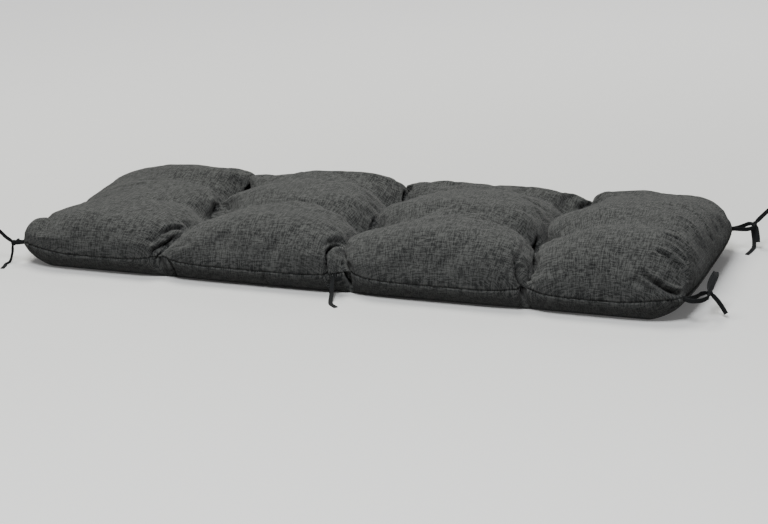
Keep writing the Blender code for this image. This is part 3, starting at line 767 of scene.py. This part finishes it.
def tuft_rays():
    """Shallow folds that run out from each tuft like spokes: cos(n angle), skewed, with uneven depth."""
    depth = 0
    for (tuft_x, tuft_y), distance in zip(TUFTS, to_tufts):
        angle = np.arctan2(y - tuft_y, x - tuft_x)
        turn, skew = random.uniform(0, 2 * np.pi, 2)
        spokes = np.cos(RAY_COUNT * angle + turn + RAY_SKEW * np.sin(2 * angle + skew))
        fade = bell(distance, RAY_REACH) * (1 - bell(distance, RAY_START))
        depth = depth + RAY_DEEP * spokes * fade * (RAY_MEAN + RAY_CHANGE * np.sin(3 * angle + skew))
    return depth


def seam_lines(surface):
    """The seam drawn in along the whole edge as (1 - away / half)^2, with fading waves beside it."""
    away = cloth_distance(surface)
    along = np.where(np.minimum(edges[0], edges[1]) < np.minimum(edges[2], edges[3]), x, y)
    places = np.linspace(-1, 1, SEAM_READS)
    ripple = np.interp(along, places, waves(places, SEAM_PUCKER_WAVE))
    groove = np.clip(1 - away / SEAM_HALF, 0, 1) ** 2
    return SEAM_DEEP * groove + SEAM_PUCKER_DEEP * ripple * np.exp(-away / SEAM_PUCKER_REACH)


def lumps():
    """Uneven filling: smooth random hills about LUMP_SIZE across."""
    coarse = random.uniform(-1, 1, (int(DEPTH / LUMP_SIZE) + 2, int(LENGTH / LUMP_SIZE) + 2, 1))
    hill_rows = np.interp(share[:, 0], (0, 1), (0, coarse.shape[0] - 1))
    hill_columns = np.interp(x[len(x) // 2], (-LENGTH / 2, LENGTH / 2), (0, coarse.shape[1] - 1))
    return softened(finer(coarse, hill_rows, hill_columns), LUMP_ROUNDS)[:, :, 0]


# %% Press them in
upper_out, lower_out = grid_normals(upper), -grid_normals(lower)
inside = 1 - np.clip(1 - np.min(edges, axis=0) / LUMP_START, 0, 1)
upper_press = crease_puckers() + tuft_rays() + LUMP_DEEP * lumps() * inside
seam_press = seam_lines(upper)
lower_press = seam_lines(lower) * (lower[:, :, 2] > OFF_FLOOR)
move = upper_out * ((upper_press + seam_press) * corner_hold)[:, :, None]
# The edge itself belongs to both panels, so it moves straight inwards, level.
level_out = unit((upper_out + lower_out) * (1, 1, 0))
move[rim] = (level_out * (seam_press * corner_hold)[:, :, None])[rim]
upper = upper - move
lower = lower - lower_out * (lower_press * corner_hold)[:, :, None]
lower[rim] = upper[rim]
lower[:, :, 2] = np.maximum(lower[:, :, 2], 0)
print("puckers and seam press in by", round(float(seam_press.max()), 4))

# %% [markdown]
# ### The cloth laid flat
# The threads of a weave run straight on the flat cloth before it is sewn. A map seen from above would
# stretch them on every steep side. So the coarse grid is laid flat by springs until its distances come
# close to those on the surface, and each point's flat place, in metres, becomes its UV map.

# %% Lay the cloth flat
FLAT_SOFT, FLAT_ROUNDS, SPRING_GIVE = 2, 400, 0.13


def lengths_along(surface, axis):
    """Mean distance along the cloth from the grid's first row or column to each other one."""
    step = np.linalg.norm(np.diff(surface, axis=axis), axis=2).mean(axis=1 - axis)
    return np.concatenate([[0], np.cumsum(step)])


def flattened(surface, flat):
    """Flat places whose distances match those on the surface, pulled there by springs between each
    point and its eight neighbours."""
    low, high, whole = slice(0, -1), slice(1, None), slice(None)
    springs = (((whole, low), (whole, high)), ((low, whole), (high, whole)),
               ((low, low), (high, high)), ((low, high), (high, low)))
    lengths = [np.linalg.norm(surface[second] - surface[first], axis=2) for first, second in springs]
    for _ in range(FLAT_ROUNDS):
        pull = np.zeros_like(flat)
        for (first, second), length in zip(springs, lengths):
            gap = flat[second] - flat[first]
            give = gap * (1 - length / np.linalg.norm(gap, axis=2))[:, :, None]
            pull[first] += give
            pull[second] -= give
        flat = flat + pull * SPRING_GIVE
    return flat


def cloth_map():
    """The place of each point on the flat cloth, in metres."""
    coarse = softened(upper[picked], FLAT_SOFT)
    start = np.stack(np.meshgrid(lengths_along(coarse, 1), lengths_along(coarse, 0)), axis=2)
    flat = flattened(coarse, start)
    print("cloth map", flat.shape, "to", np.round(flat[-1, -1], 3))
    return finer(flat, at_rows, at_columns)


def build_cushion():
    """One closed piece of both panels with its UV map. The lower panel has the upper one's, mirrored."""
    rows, columns = x.shape
    points = np.concatenate([upper.reshape(-1, 3), lower[1:-1, 1:-1].reshape(-1, 3)])
    faces = panel_faces(rows, columns)[1]
    piece = new_mesh("cushion_cloth", points, faces)
    grid_u, grid_v = np.moveaxis(cloth_map(), 2, 0)
    up = [(0, 0), (0, 1), (1, 1), (1, 0)]
    down = [(0, 0), (1, 0), (1, 1), (0, 1)]
    uv = []
    for corners, sign in ((up, 1), (down, -1)):
        for r, c in corners:
            cut = (slice(r, rows - 1 + r), slice(c, columns - 1 + c))
            uv.append(np.stack([grid_u[cut], sign * grid_v[cut]], axis=2))
    uv = np.stack([np.stack(uv[:4], axis=2), np.stack(uv[4:], axis=2)])
    layer = piece.data.uv_layers.new(name="cloth")
    layer.data.foreach_set("uv", uv.reshape(-1))
    return piece


cushion = build_cushion()
print("cushion faces", len(cushion.data.polygons))
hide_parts("cushion")
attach(cushion, "root")


# %% [markdown]
# ## Woven look
# The cover is a slubby plain weave in two greys: each thread changes its shade along its length, so
# light and dark streaks cross at right angles. A photograph of cloth would repeat and carry its own
# shadows, so the weave is worked out from the place on the flat cloth.

# %% A node group for woven thread
THREAD_PITCH = 0.0013
# Streaks along a thread: their grain across it and along it, for fine and for broad ones.
FINE_STREAK, BROAD_STREAK = (0.0017, 0.012), (0.0028, 0.026)
# The sum of two streaks that becomes the darkest shade, and the one that becomes the lightest.
DARKEST_AT, LIGHTEST_AT = 0.89, 1.11
# How sharply one thread goes over another, and how much higher a light thread stands than a dark one.
TOP_SHARP, SHADE_SWELL = 2.0, 0.5


def new_group(name, inputs, outputs):
    """An empty node group with its named sockets: returns it, its input node and its output node."""
    group = bpy.data.node_groups.new(name, "ShaderNodeTree")
    for socket, kind, value in inputs:
        made = group.interface.new_socket(socket, in_out="INPUT", socket_type=kind)
        if value is not None:
            made.default_value = value
    for socket, kind in outputs:
        group.interface.new_socket(socket, in_out="OUTPUT", socket_type=kind)
    return group, group.nodes.new("NodeGroupInput"), group.nodes.new("NodeGroupOutput")


def streaks(tree, cloth, grain, detail=1.0):
    """Smooth noise stretched on the cloth. The grain is its size along each way, in metres."""
    scaled = place_node(tree, "ShaderNodeVectorMath", {"operation": "MULTIPLY"},
                        {0: cloth, 1: (1 / grain[0], 1 / grain[1], 1)}).outputs[0]
    noise = place_node(tree, "ShaderNodeTexNoise", {"noise_dimensions": "2D"},
                       {"Vector": scaled, "Scale": 1.0, "Detail": detail, "Roughness": 0.5})
    return noise.outputs["Fac"]


def weave_group():
    """Plain weave. Each thread is a ridge |sin(pi place / pitch)|; where the two sines have one sign
    the weft is on top, else the warp. Each has its own streaks, and light threads stand up more."""
    group, given, made = new_group(
        "slub weave",
        (("Cloth", "NodeSocketVector", None), ("Pitch", "NodeSocketFloat", THREAD_PITCH)),
        (("Shade", "NodeSocketFloat"), ("Height", "NodeSocketFloat")),
    )
    cloth = given.outputs["Cloth"]
    parts = place_node(group, "ShaderNodeSeparateXYZ", None, {0: cloth})
    turn = []
    for axis in ("X", "Y"):
        thread = maths(group, "DIVIDE", parts.outputs[axis], given.outputs["Pitch"])
        turn.append(maths(group, "MULTIPLY", thread, np.pi))
    waves = [maths(group, "SINE", each) for each in turn]
    ridges = [maths(group, "ABSOLUTE", wave) for wave in waves]
    parity = maths(group, "MULTIPLY", waves[0], waves[1])
    on_top = maths(group, "MULTIPLY_ADD", parity, TOP_SHARP, 0.5)
    on_top = place_node(group, "ShaderNodeClamp", None, {"Value": on_top}).outputs[0]
    # The weft's streaks are the warp's turned a quarter.
    warp, weft = (
        maths(group, "ADD", *(streaks(group, cloth, grain[::way]) for grain in (FINE_STREAK, BROAD_STREAK)))
        for way in (1, -1)
    )
    shade = mix(group, on_top, warp, weft, "FLOAT")
    ridge = mix(group, on_top, *ridges, "FLOAT")
    spread = place_node(group, "ShaderNodeMapRange", None,
                        {"Value": shade, "From Min": DARKEST_AT, "From Max": LIGHTEST_AT})
    group.links.new(spread.outputs[0], made.inputs["Shade"])
    swollen = maths(group, "MULTIPLY_ADD", spread.outputs[0], SHADE_SWELL, ridge)
    group.links.new(swollen, made.inputs["Height"])
    return group


slub_weave = weave_group()
print("weave gives", [socket.name for socket in slub_weave.interface.items_tree])

# %% The cushion's cloth
CLOTH_DARK = (0.0135, 0.0145, 0.0150, 1)
CLOTH_LIGHT = (0.101, 0.103, 0.101, 1)
CLOTH_ROUGHNESS, CLOTH_SHINE, CLOTH_SHEEN, SHEEN_ROUGHNESS = 0.92, 0.25, 0.12, 0.6
# Faint patches of wear: their grain, their finer detail, and how far they shift the shade.
PATCH_GRAIN, PATCH_DETAIL, PATCH_SHIFT = (0.11, 0.07), 3.0, 0.12
THREAD_RELIEF, THREAD_STRENGTH = 0.0005, 0.7


def cloth_material():
    """Matt charcoal cloth: thread shades from the weave, faint wear in patches, and thread relief."""
    material, tree, shader = new_material("charcoal weave", CLOTH_ROUGHNESS)
    place = place_node(tree, "ShaderNodeUVMap", {"uv_map": "cloth"})
    weave = place_node(tree, "ShaderNodeGroup", {"node_tree": slub_weave}, {"Cloth": place.outputs[0]})
    patches = streaks(tree, place.outputs[0], PATCH_GRAIN, PATCH_DETAIL)
    shift = maths(tree, "MULTIPLY_ADD", patches, 2 * PATCH_SHIFT, -PATCH_SHIFT)
    shade = maths(tree, "ADD", weave.outputs["Shade"], shift)
    tree.links.new(mix(tree, shade, CLOTH_DARK, CLOTH_LIGHT), shader.inputs["Base Color"])
    relief = {"Strength": THREAD_STRENGTH, "Distance": THREAD_RELIEF, "Height": weave.outputs["Height"]}
    bump = place_node(tree, "ShaderNodeBump", None, relief)
    tree.links.new(bump.outputs[0], shader.inputs["Normal"])
    shader.inputs["Specular IOR Level"].default_value = CLOTH_SHINE
    shader.inputs["Sheen Weight"].default_value = CLOTH_SHEEN
    shader.inputs["Sheen Roughness"].default_value = SHEEN_ROUGHNESS
    return material


cushion.data.materials.append(cloth_material())
print("cloth", cushion.data.materials[0].name)

# %% [markdown]
# ## The ties
# Narrow tapes are sewn into the seam in pairs and knotted beside each corner. Each is a folded strip
# with a row of stitches along both edges. A rope simulation could drop them, but a short stiff tape
# keeps the bends of its knot, so each route is a list of given places, repeated from the
# plain model, with the way the tape's width points.

# %% Routes of the tapes
# A tape's width and thickness, how far apart two start, how far one is off the seam, runs straight
# out of it and reaches into it.
TAPE_WIDE, TAPE_THICK, PAIR_APART = 0.0090, 0.0018, 0.0026
CLEARANCE, LEAVE, INTO_SEAM = 0.0004, 0.0040, 0.003
# For each corner: the place in its seam, and the way out of it.
SEAM_CORNERS = {
    "front left": ((-0.7226, -0.2243, 0.050), (-0.781, -0.624, 0)),
    "front right": ((0.7232, -0.2243, 0.050), (0.843, -0.538, 0)),
    "rear left": ((-0.7228, 0.2243, 0.050), (-0.797, 0.604, 0)),
    "rear right": ((0.7232, 0.2243, 0.050), (0.843, 0.538, 0)),
}
# The knots: their places, and how far each is turned round the upright.
KNOTS = {
    "front left": {"place": (-0.757, -0.214, 0.042), "turn": 7.0},
    "front right": {"place": (0.763, -0.175, 0.047), "turn": 7.7},
    "rear right": {"place": (0.765, 0.258, 0.053), "turn": 7.0},
    "rear left": {"place": (-0.760, 0.250, 0.045), "turn": 6.3},
}
UPRIGHT, LEVEL_X, LEVEL_Y, LEVEL_XY = (0, 0, 1), (1, 0, 0), (0, 1, 0), (0.7, 0.7, 0)
RISING_X, FALLING_X = (0.7, 0, 0.7), (-0.7, 0, 0.7)
# Each tape that comes out of a corner: the side it starts on, its places up to the knot and beyond it,
# and the way its width points there and at its end. The first of each pair carries the knot. The loop
# of the half bow comes back to its knot, that far from the knot's middle.
TAPES = (
    {"name": "tape_front_left_a", "at": "front left", "side": 1, "knot": True,
     "nodes": ("tie_front_left_a", "tie_front_left_end_up"), "width": RISING_X, "end_width": RISING_X,
     "in": ((-0.736, -0.235, 0.050), (-0.751, -0.230, 0.047)),
     "out": ((-0.773, -0.219, 0.056), (-0.787, -0.221, 0.070), (-0.797, -0.222, 0.077))},
    {"name": "tape_front_left_b", "at": "front left", "side": -1,
     "nodes": ("tie_front_left_b", "tie_front_left_end_down"), "width": LEVEL_Y, "end_width": LEVEL_X,
     "in": ((-0.737, -0.224, 0.050), (-0.746, -0.210, 0.047)),
     "out": ((-0.758, -0.222, 0.022), (-0.760, -0.230, 0.006), (-0.761, -0.247, 0.0016),
             (-0.756, -0.270, 0.0014))},
    {"name": "tape_front_right_a", "at": "front right", "side": -1, "knot": True,
     "nodes": ("tie_front_right_a", "tie_front_right_bow"), "width": LEVEL_X, "end_width": LEVEL_X,
     "in": ((0.740, -0.2365, 0.050), (0.756, -0.231, 0.050), (0.767, -0.205, 0.049)),
     "out": ((0.767, -0.166, 0.061), (0.771, -0.152, 0.076), (0.767, -0.141, 0.078),
             (0.761, -0.148, 0.068), (0.759, -0.160, 0.057)),
     "back": (-0.001, 0.004, 0.004)},
    {"name": "tape_front_right_b", "at": "front right", "side": 1,
     "nodes": ("tie_front_right_b", "tie_front_right_end"), "width": RISING_X, "end_width": RISING_X,
     "in": ((0.7385, -0.219, 0.050), (0.746, -0.203, 0.049), (0.750, -0.185, 0.048)),
     "out": ((0.775, -0.175, 0.037), (0.786, -0.175, 0.023), (0.796, -0.178, 0.009))},
    {"name": "tape_rear_right_a", "at": "rear right", "side": -1, "knot": True,
     "nodes": ("tie_rear_right_a", "tie_rear_right_end_up"), "width": FALLING_X, "end_width": FALLING_X,
     "in": ((0.739, 0.226, 0.050), (0.757, 0.227, 0.051), (0.768, 0.240, 0.052)),
     "out": ((0.778, 0.265, 0.068), (0.793, 0.272, 0.083))},
    {"name": "tape_rear_right_b", "at": "rear right", "side": 1,
     "nodes": ("tie_rear_right_b", "tie_rear_right_end_down"), "width": LEVEL_X, "end_width": LEVEL_X,
     "in": ((0.736, 0.239, 0.050), (0.744, 0.250, 0.051), (0.754, 0.259, 0.053)),
     "out": ((0.773, 0.250, 0.037), (0.776, 0.245, 0.018))},
    {"name": "tape_rear_left_a", "at": "rear left", "side": 1, "knot": True,
     "nodes": ("tie_rear_left_a", "tie_rear_left_end_a"), "width": LEVEL_Y, "end_width": LEVEL_Y,
     "in": ((-0.737, 0.225, 0.050), (-0.753, 0.228, 0.048), (-0.761, 0.239, 0.046)),
     "out": ((-0.773, 0.247, 0.030), (-0.785, 0.243, 0.008), (-0.798, 0.239, 0.0016),
             (-0.812, 0.236, 0.0014))},
    {"name": "tape_rear_left_b", "at": "rear left", "side": -1,
     "nodes": ("tie_rear_left_b", "tie_rear_left_end_b"), "width": LEVEL_X, "end_width": LEVEL_X,
     "in": ((-0.734, 0.238, 0.050), (-0.741, 0.249, 0.048), (-0.750, 0.254, 0.046)),
     "out": ((-0.763, 0.266, 0.030), (-0.765, 0.278, 0.008), (-0.768, 0.290, 0.0016),
             (-0.772, 0.306, 0.0014))},
)
# The tapes that start at a knot or in the seam's front notch, with the way their width points at both
# ends.
FREE_TAPES = (
    {"name": "tape_rear_right_tail", "nodes": ("tie_rear_right_tail",), "widths": (LEVEL_X, LEVEL_X),
     "by": ((0.763, 0.262, 0.050), (0.760, 0.270, 0.035), (0.763, 0.269, 0.014),
            (0.765, 0.258, 0.0036), (0.764, 0.240, 0.0016), (0.760, 0.208, 0.0014))},
    {"name": "tape_front_middle_long", "nodes": ("tie_front_middle_long",), "widths": (UPRIGHT, LEVEL_XY),
     "by": ((0.0165, -0.2290, 0.050), (0.0167, -0.2328, 0.050), (0.0155, -0.244, 0.047),
            (0.0165, -0.259, 0.032), (0.020, -0.275, 0.011), (0.027, -0.297, 0.0016),
            (0.046, -0.315, 0.0014))},
    {"name": "tape_front_middle_short", "nodes": ("tie_front_middle_short",), "widths": (UPRIGHT, UPRIGHT),
     "by": ((0.0195, -0.2270, 0.050), (0.0193, -0.2328, 0.050), (0.0205, -0.245, 0.046),
            (0.027, -0.263, 0.041), (0.042, -0.270, 0.047))},
)

# %% [markdown]
# ### Tapes and knots as swept strips
# A real tape is pressed flat, with rounded edges. A curve with a bevel would twist at each bend, so a
# ring of points is carried along the route, with its width turned from one chosen way to the next. A
# knot squeezes its tape, and a tape that reaches the floor lies flat on it. The knot itself is the
# simplest one, a trefoil, drawn tight.

# %% Sweep a flat tape along a route
TAPE_STEP, TAPE_SIDES, TAPE_CORNER = 0.0015, 24, 0.4
# How much a knot narrows its tape and how far out, and the height below which a tape lies flat, with
# the small share of its depth that is kept there.
PINCH_SHARE, PINCH_HALF = 0.45, 0.012
FLOOR_GAP, DEPTH_KEPT = 0.0003, 0.02


def smooth_route(places, step):
    """A smooth curve through the places, read at even steps: the line, and the arc lengths of its
    points and of the places."""
    places = np.array(places, float)
    along = np.concatenate([[0], np.cumsum(np.linalg.norm(np.diff(places, axis=0), axis=1))])
    at = np.linspace(0, along[-1], round(along[-1] / step) + 1)
    line = np.stack([through(at, along, places[:, k]) for k in range(3)], axis=1)
    return line, at, along


def add_tape_map(piece, places):
    """A UV map from each point's place on the flat tape, in metres."""
    corners = np.empty(len(piece.data.loops), int)
    piece.data.loops.foreach_get("vertex_index", corners)
    layer = piece.data.uv_layers.new(name="tape")
    layer.data.foreach_set("uv", places[corners].reshape(-1))


def squared(wave):
    """A wave with flatter tops, sign(w) |w|^0.4, so a circle becomes the oval |a|^5 + |b|^5 = 1."""
    return np.sign(wave) * np.abs(wave) ** TAPE_CORNER


def sweep_tape(name, places, widths, pinch_at=None):
    """A flat rounded strip carried along a route: line + wide * a + thick * b round a squared oval. It
    narrows and thickens near the place in pinch_at, where a knot squeezes it."""
    line, at, along = smooth_route(places, TAPE_STEP)
    ahead = unit(np.gradient(line, axis=0))
    wide = np.stack([np.interp(at, along, np.array(widths, float)[:, k]) for k in range(3)], axis=1)
    wide = unit(wide - (wide * ahead).sum(axis=1, keepdims=True) * ahead)
    thick = np.cross(ahead, wide)
    turn = np.linspace(0, 2 * np.pi, TAPE_SIDES, endpoint=False)
    flat = squared(np.cos(turn)) * TAPE_WIDE / 2
    deep = squared(np.sin(turn)) * TAPE_THICK / 2
    squeeze = np.zeros(len(line))
    if pinch_at is not None:
        squeeze = bell(np.linalg.norm(line - pinch_at, axis=1), PINCH_HALF)
    narrow = (1 - PINCH_SHARE * squeeze)[:, None, None]
    rings = line[:, None, :] + wide[:, None, :] * flat[None, :, None] * narrow
    rings = rings + thick[:, None, :] * deep[None, :, None] / narrow
    height = rings[:, :, 2]
    rings[:, :, 2] = np.where(height < FLOOR_GAP, FLOOR_GAP + (height - FLOOR_GAP) * DEPTH_KEPT, height)
    ring = np.arange(len(line) * TAPE_SIDES).reshape(-1, TAPE_SIDES)
    after = np.roll(ring, -1, axis=1)
    sides = np.stack([ring[:-1], after[:-1], after[1:], ring[1:]], axis=2).reshape(-1, 4).tolist()
    piece = new_mesh(name, rings, sides + [ring[0][::-1].tolist(), ring[-1].tolist()])
    add_tape_map(piece, np.stack([np.tile(flat, len(line)), np.repeat(at, TAPE_SIDES)], axis=1))
    return piece, line


# %% Pull a knot tight
KNOT_STEPS, KNOT_SIDES = 96, 16
# The size of the trefoil, how much higher than flat it is, and half the width and thickness of its
# strip. It leans over, and its cloth is KNOT_CLOTH long for each radian.
KNOT_SIZE, KNOT_HIGH, STRIP_WIDE, STRIP_THICK = 0.00150, 1.3, 0.0029, 0.0020
KNOT_LEAN, KNOT_CLOTH = 0.9, 0.006


def knot_piece(name):
    """A pulled knot: an oval strip carried round (sin t + 2 sin 2t, cos t - 2 cos 2t, -1.3 sin 3t)."""
    t = np.linspace(0, 2 * np.pi, KNOT_STEPS, endpoint=False)
    line = KNOT_SIZE * np.stack([np.sin(t) + 2 * np.sin(2 * t), np.cos(t) - 2 * np.cos(2 * t),
                                 -KNOT_HIGH * np.sin(3 * t)], axis=1)
    ahead = unit(np.roll(line, -1, axis=0) - np.roll(line, 1, axis=0))
    side = unit(np.cross(ahead, unit(line)))
    out = np.cross(side, ahead)
    turn = np.linspace(0, 2 * np.pi, KNOT_SIDES, endpoint=False)
    rings = (line[:, None, :] + side[:, None, :] * np.cos(turn)[None, :, None] * STRIP_WIDE
             + out[:, None, :] * np.sin(turn)[None, :, None] * STRIP_THICK)
    lean = Matrix.Rotation(KNOT_LEAN, 3, "X") @ Matrix.Rotation(KNOTS[name]["turn"], 3, "Z")
    rings = rings @ np.array(lean).T + KNOTS[name]["place"]
    ring = np.arange(KNOT_STEPS * KNOT_SIDES).reshape(KNOT_STEPS, KNOT_SIDES)
    after = np.roll(ring, -1, axis=1)
    quads = np.stack([ring, np.roll(ring, -1, axis=0), np.roll(after, -1, axis=0), after], axis=2)
    piece = new_mesh("knotted_" + name.replace(" ", "_"), rings, quads.reshape(-1, 4).tolist())
    across = np.tile(np.cos(turn) * STRIP_WIDE, KNOT_STEPS)
    add_tape_map(piece, np.stack([across, np.repeat(t * KNOT_CLOTH, KNOT_SIDES)], axis=1))
    return piece


# %% [markdown]
# ### The tapes' cloth
# The tapes are woven closer than the cover and are nearly black, with fine ribs across them and a row
# of stitches along each edge. Such threads are too fine to model, so ribs and stitches are worked out
# from the place on the flat tape, as shade and as relief.

# %% The tapes' cloth
TAPE_DARK, TAPE_LIGHT = (0.0080, 0.0085, 0.0096, 1), (0.032, 0.034, 0.037, 1)
TAPE_ROUGHNESS, TAPE_SHINE, TAPE_GRAIN = 0.85, 0.3, (0.0012, 0.009)
RIB_PITCH = 0.0008
# Stitches: their distance from the tape's middle, half their width, their pitch, and the level of a
# sine above which the thread shows.
STITCH_OFF, STITCH_HALF, STITCH_PITCH, STITCH_SHOWS = 0.0031, 0.00032, 0.003, -0.45
# How much lighter stitches and streaks are, how far a stitch stands above the ribs, as a share of their
# height, and the relief's height and strength.
STITCH_LIGHT, STREAK_LIGHT, STITCH_HIGH = 0.55, 0.5, 1.2
TAPE_RELIEF, TAPE_STRENGTH = 0.0003, 0.6


def tape_material():
    """Near-black tape: fine ribs across it, |sin(pi along / pitch)|, and dashes along both edges."""
    material, tree, shader = new_material("dark tape", TAPE_ROUGHNESS)
    place = place_node(tree, "ShaderNodeUVMap", {"uv_map": "tape"})
    parts = place_node(tree, "ShaderNodeSeparateXYZ", None, {0: place.outputs[0]})
    off, along = parts.outputs["X"], parts.outputs["Y"]
    rib = maths(tree, "ABSOLUTE", maths(tree, "SINE", maths(tree, "MULTIPLY", along, np.pi / RIB_PITCH)))
    from_row = maths(tree, "SUBTRACT", maths(tree, "ABSOLUTE", off), STITCH_OFF)
    in_row = maths(tree, "LESS_THAN", maths(tree, "ABSOLUTE", from_row), STITCH_HALF)
    wave = maths(tree, "SINE", maths(tree, "MULTIPLY", along, 2 * np.pi / STITCH_PITCH))
    stitch = maths(tree, "MULTIPLY", in_row, maths(tree, "GREATER_THAN", wave, STITCH_SHOWS))
    streak = maths(tree, "MULTIPLY", streaks(tree, place.outputs[0], TAPE_GRAIN), STREAK_LIGHT)
    shade = maths(tree, "MULTIPLY_ADD", stitch, STITCH_LIGHT, streak)
    tree.links.new(mix(tree, shade, TAPE_DARK, TAPE_LIGHT), shader.inputs["Base Color"])
    relief = {"Strength": TAPE_STRENGTH, "Distance": TAPE_RELIEF,
              "Height": maths(tree, "MULTIPLY_ADD", stitch, STITCH_HIGH, rib)}
    bump = place_node(tree, "ShaderNodeBump", None, relief)
    tree.links.new(bump.outputs[0], shader.inputs["Normal"])
    shader.inputs["Specular IOR Level"].default_value = TAPE_SHINE
    return material


dark_tape = tape_material()
print("tapes", dark_tape.name)


def dress_tape(piece, *nodes):
    """Give a tape or knot its cloth, and let it stand for its plain solids."""
    piece.data.materials.append(dark_tape)
    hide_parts(*nodes)
    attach(piece, "root")


# %% [markdown]
# ### Sewn in by pairs
# Both tapes of a tie leave the seam side by side and meet in the knot. Each route could be written out
# whole, but then it would need new numbers whenever its corner moves. So a route starts from its corner
# of the seam, a little to one side, and runs through its knot's place. One tape of each pair carries
# the knot. A third tape, a tail, comes out of the rear right knot, and two come out at the front.

knots = {name: knot_piece(name) for name in KNOTS}
for name, knot in knots.items():
    dress_tape(knot, "knot_" + name.replace(" ", "_"))

for row in TAPES:
    corner, way = (np.array(each) for each in SEAM_CORNERS[row["at"]])
    aside = np.array((-way[1], way[0], 0)) * row["side"] * PAIR_APART / 2
    start = corner + way * CLEARANCE + aside
    knot_place = np.array(KNOTS[row["at"]]["place"])
    places = [start - way * INTO_SEAM, start + way * LEAVE, *row["in"], knot_place, *row["out"]]
    widths = [UPRIGHT] * (2 + len(row["in"])) + [row["width"]] * len(row["out"]) + [row["end_width"]]
    if "back" in row:
        places.append(knot_place + row["back"])
        widths.append(row["end_width"])
    piece, line = sweep_tape(row["name"], places, widths, knot_place)
    dress_tape(piece, *row["nodes"])

for row in FREE_TAPES:
    widths = np.linspace(row["widths"][0], row["widths"][1], len(row["by"]))
    piece, line = sweep_tape(row["name"], row["by"], widths)
    dress_tape(piece, *row["nodes"])
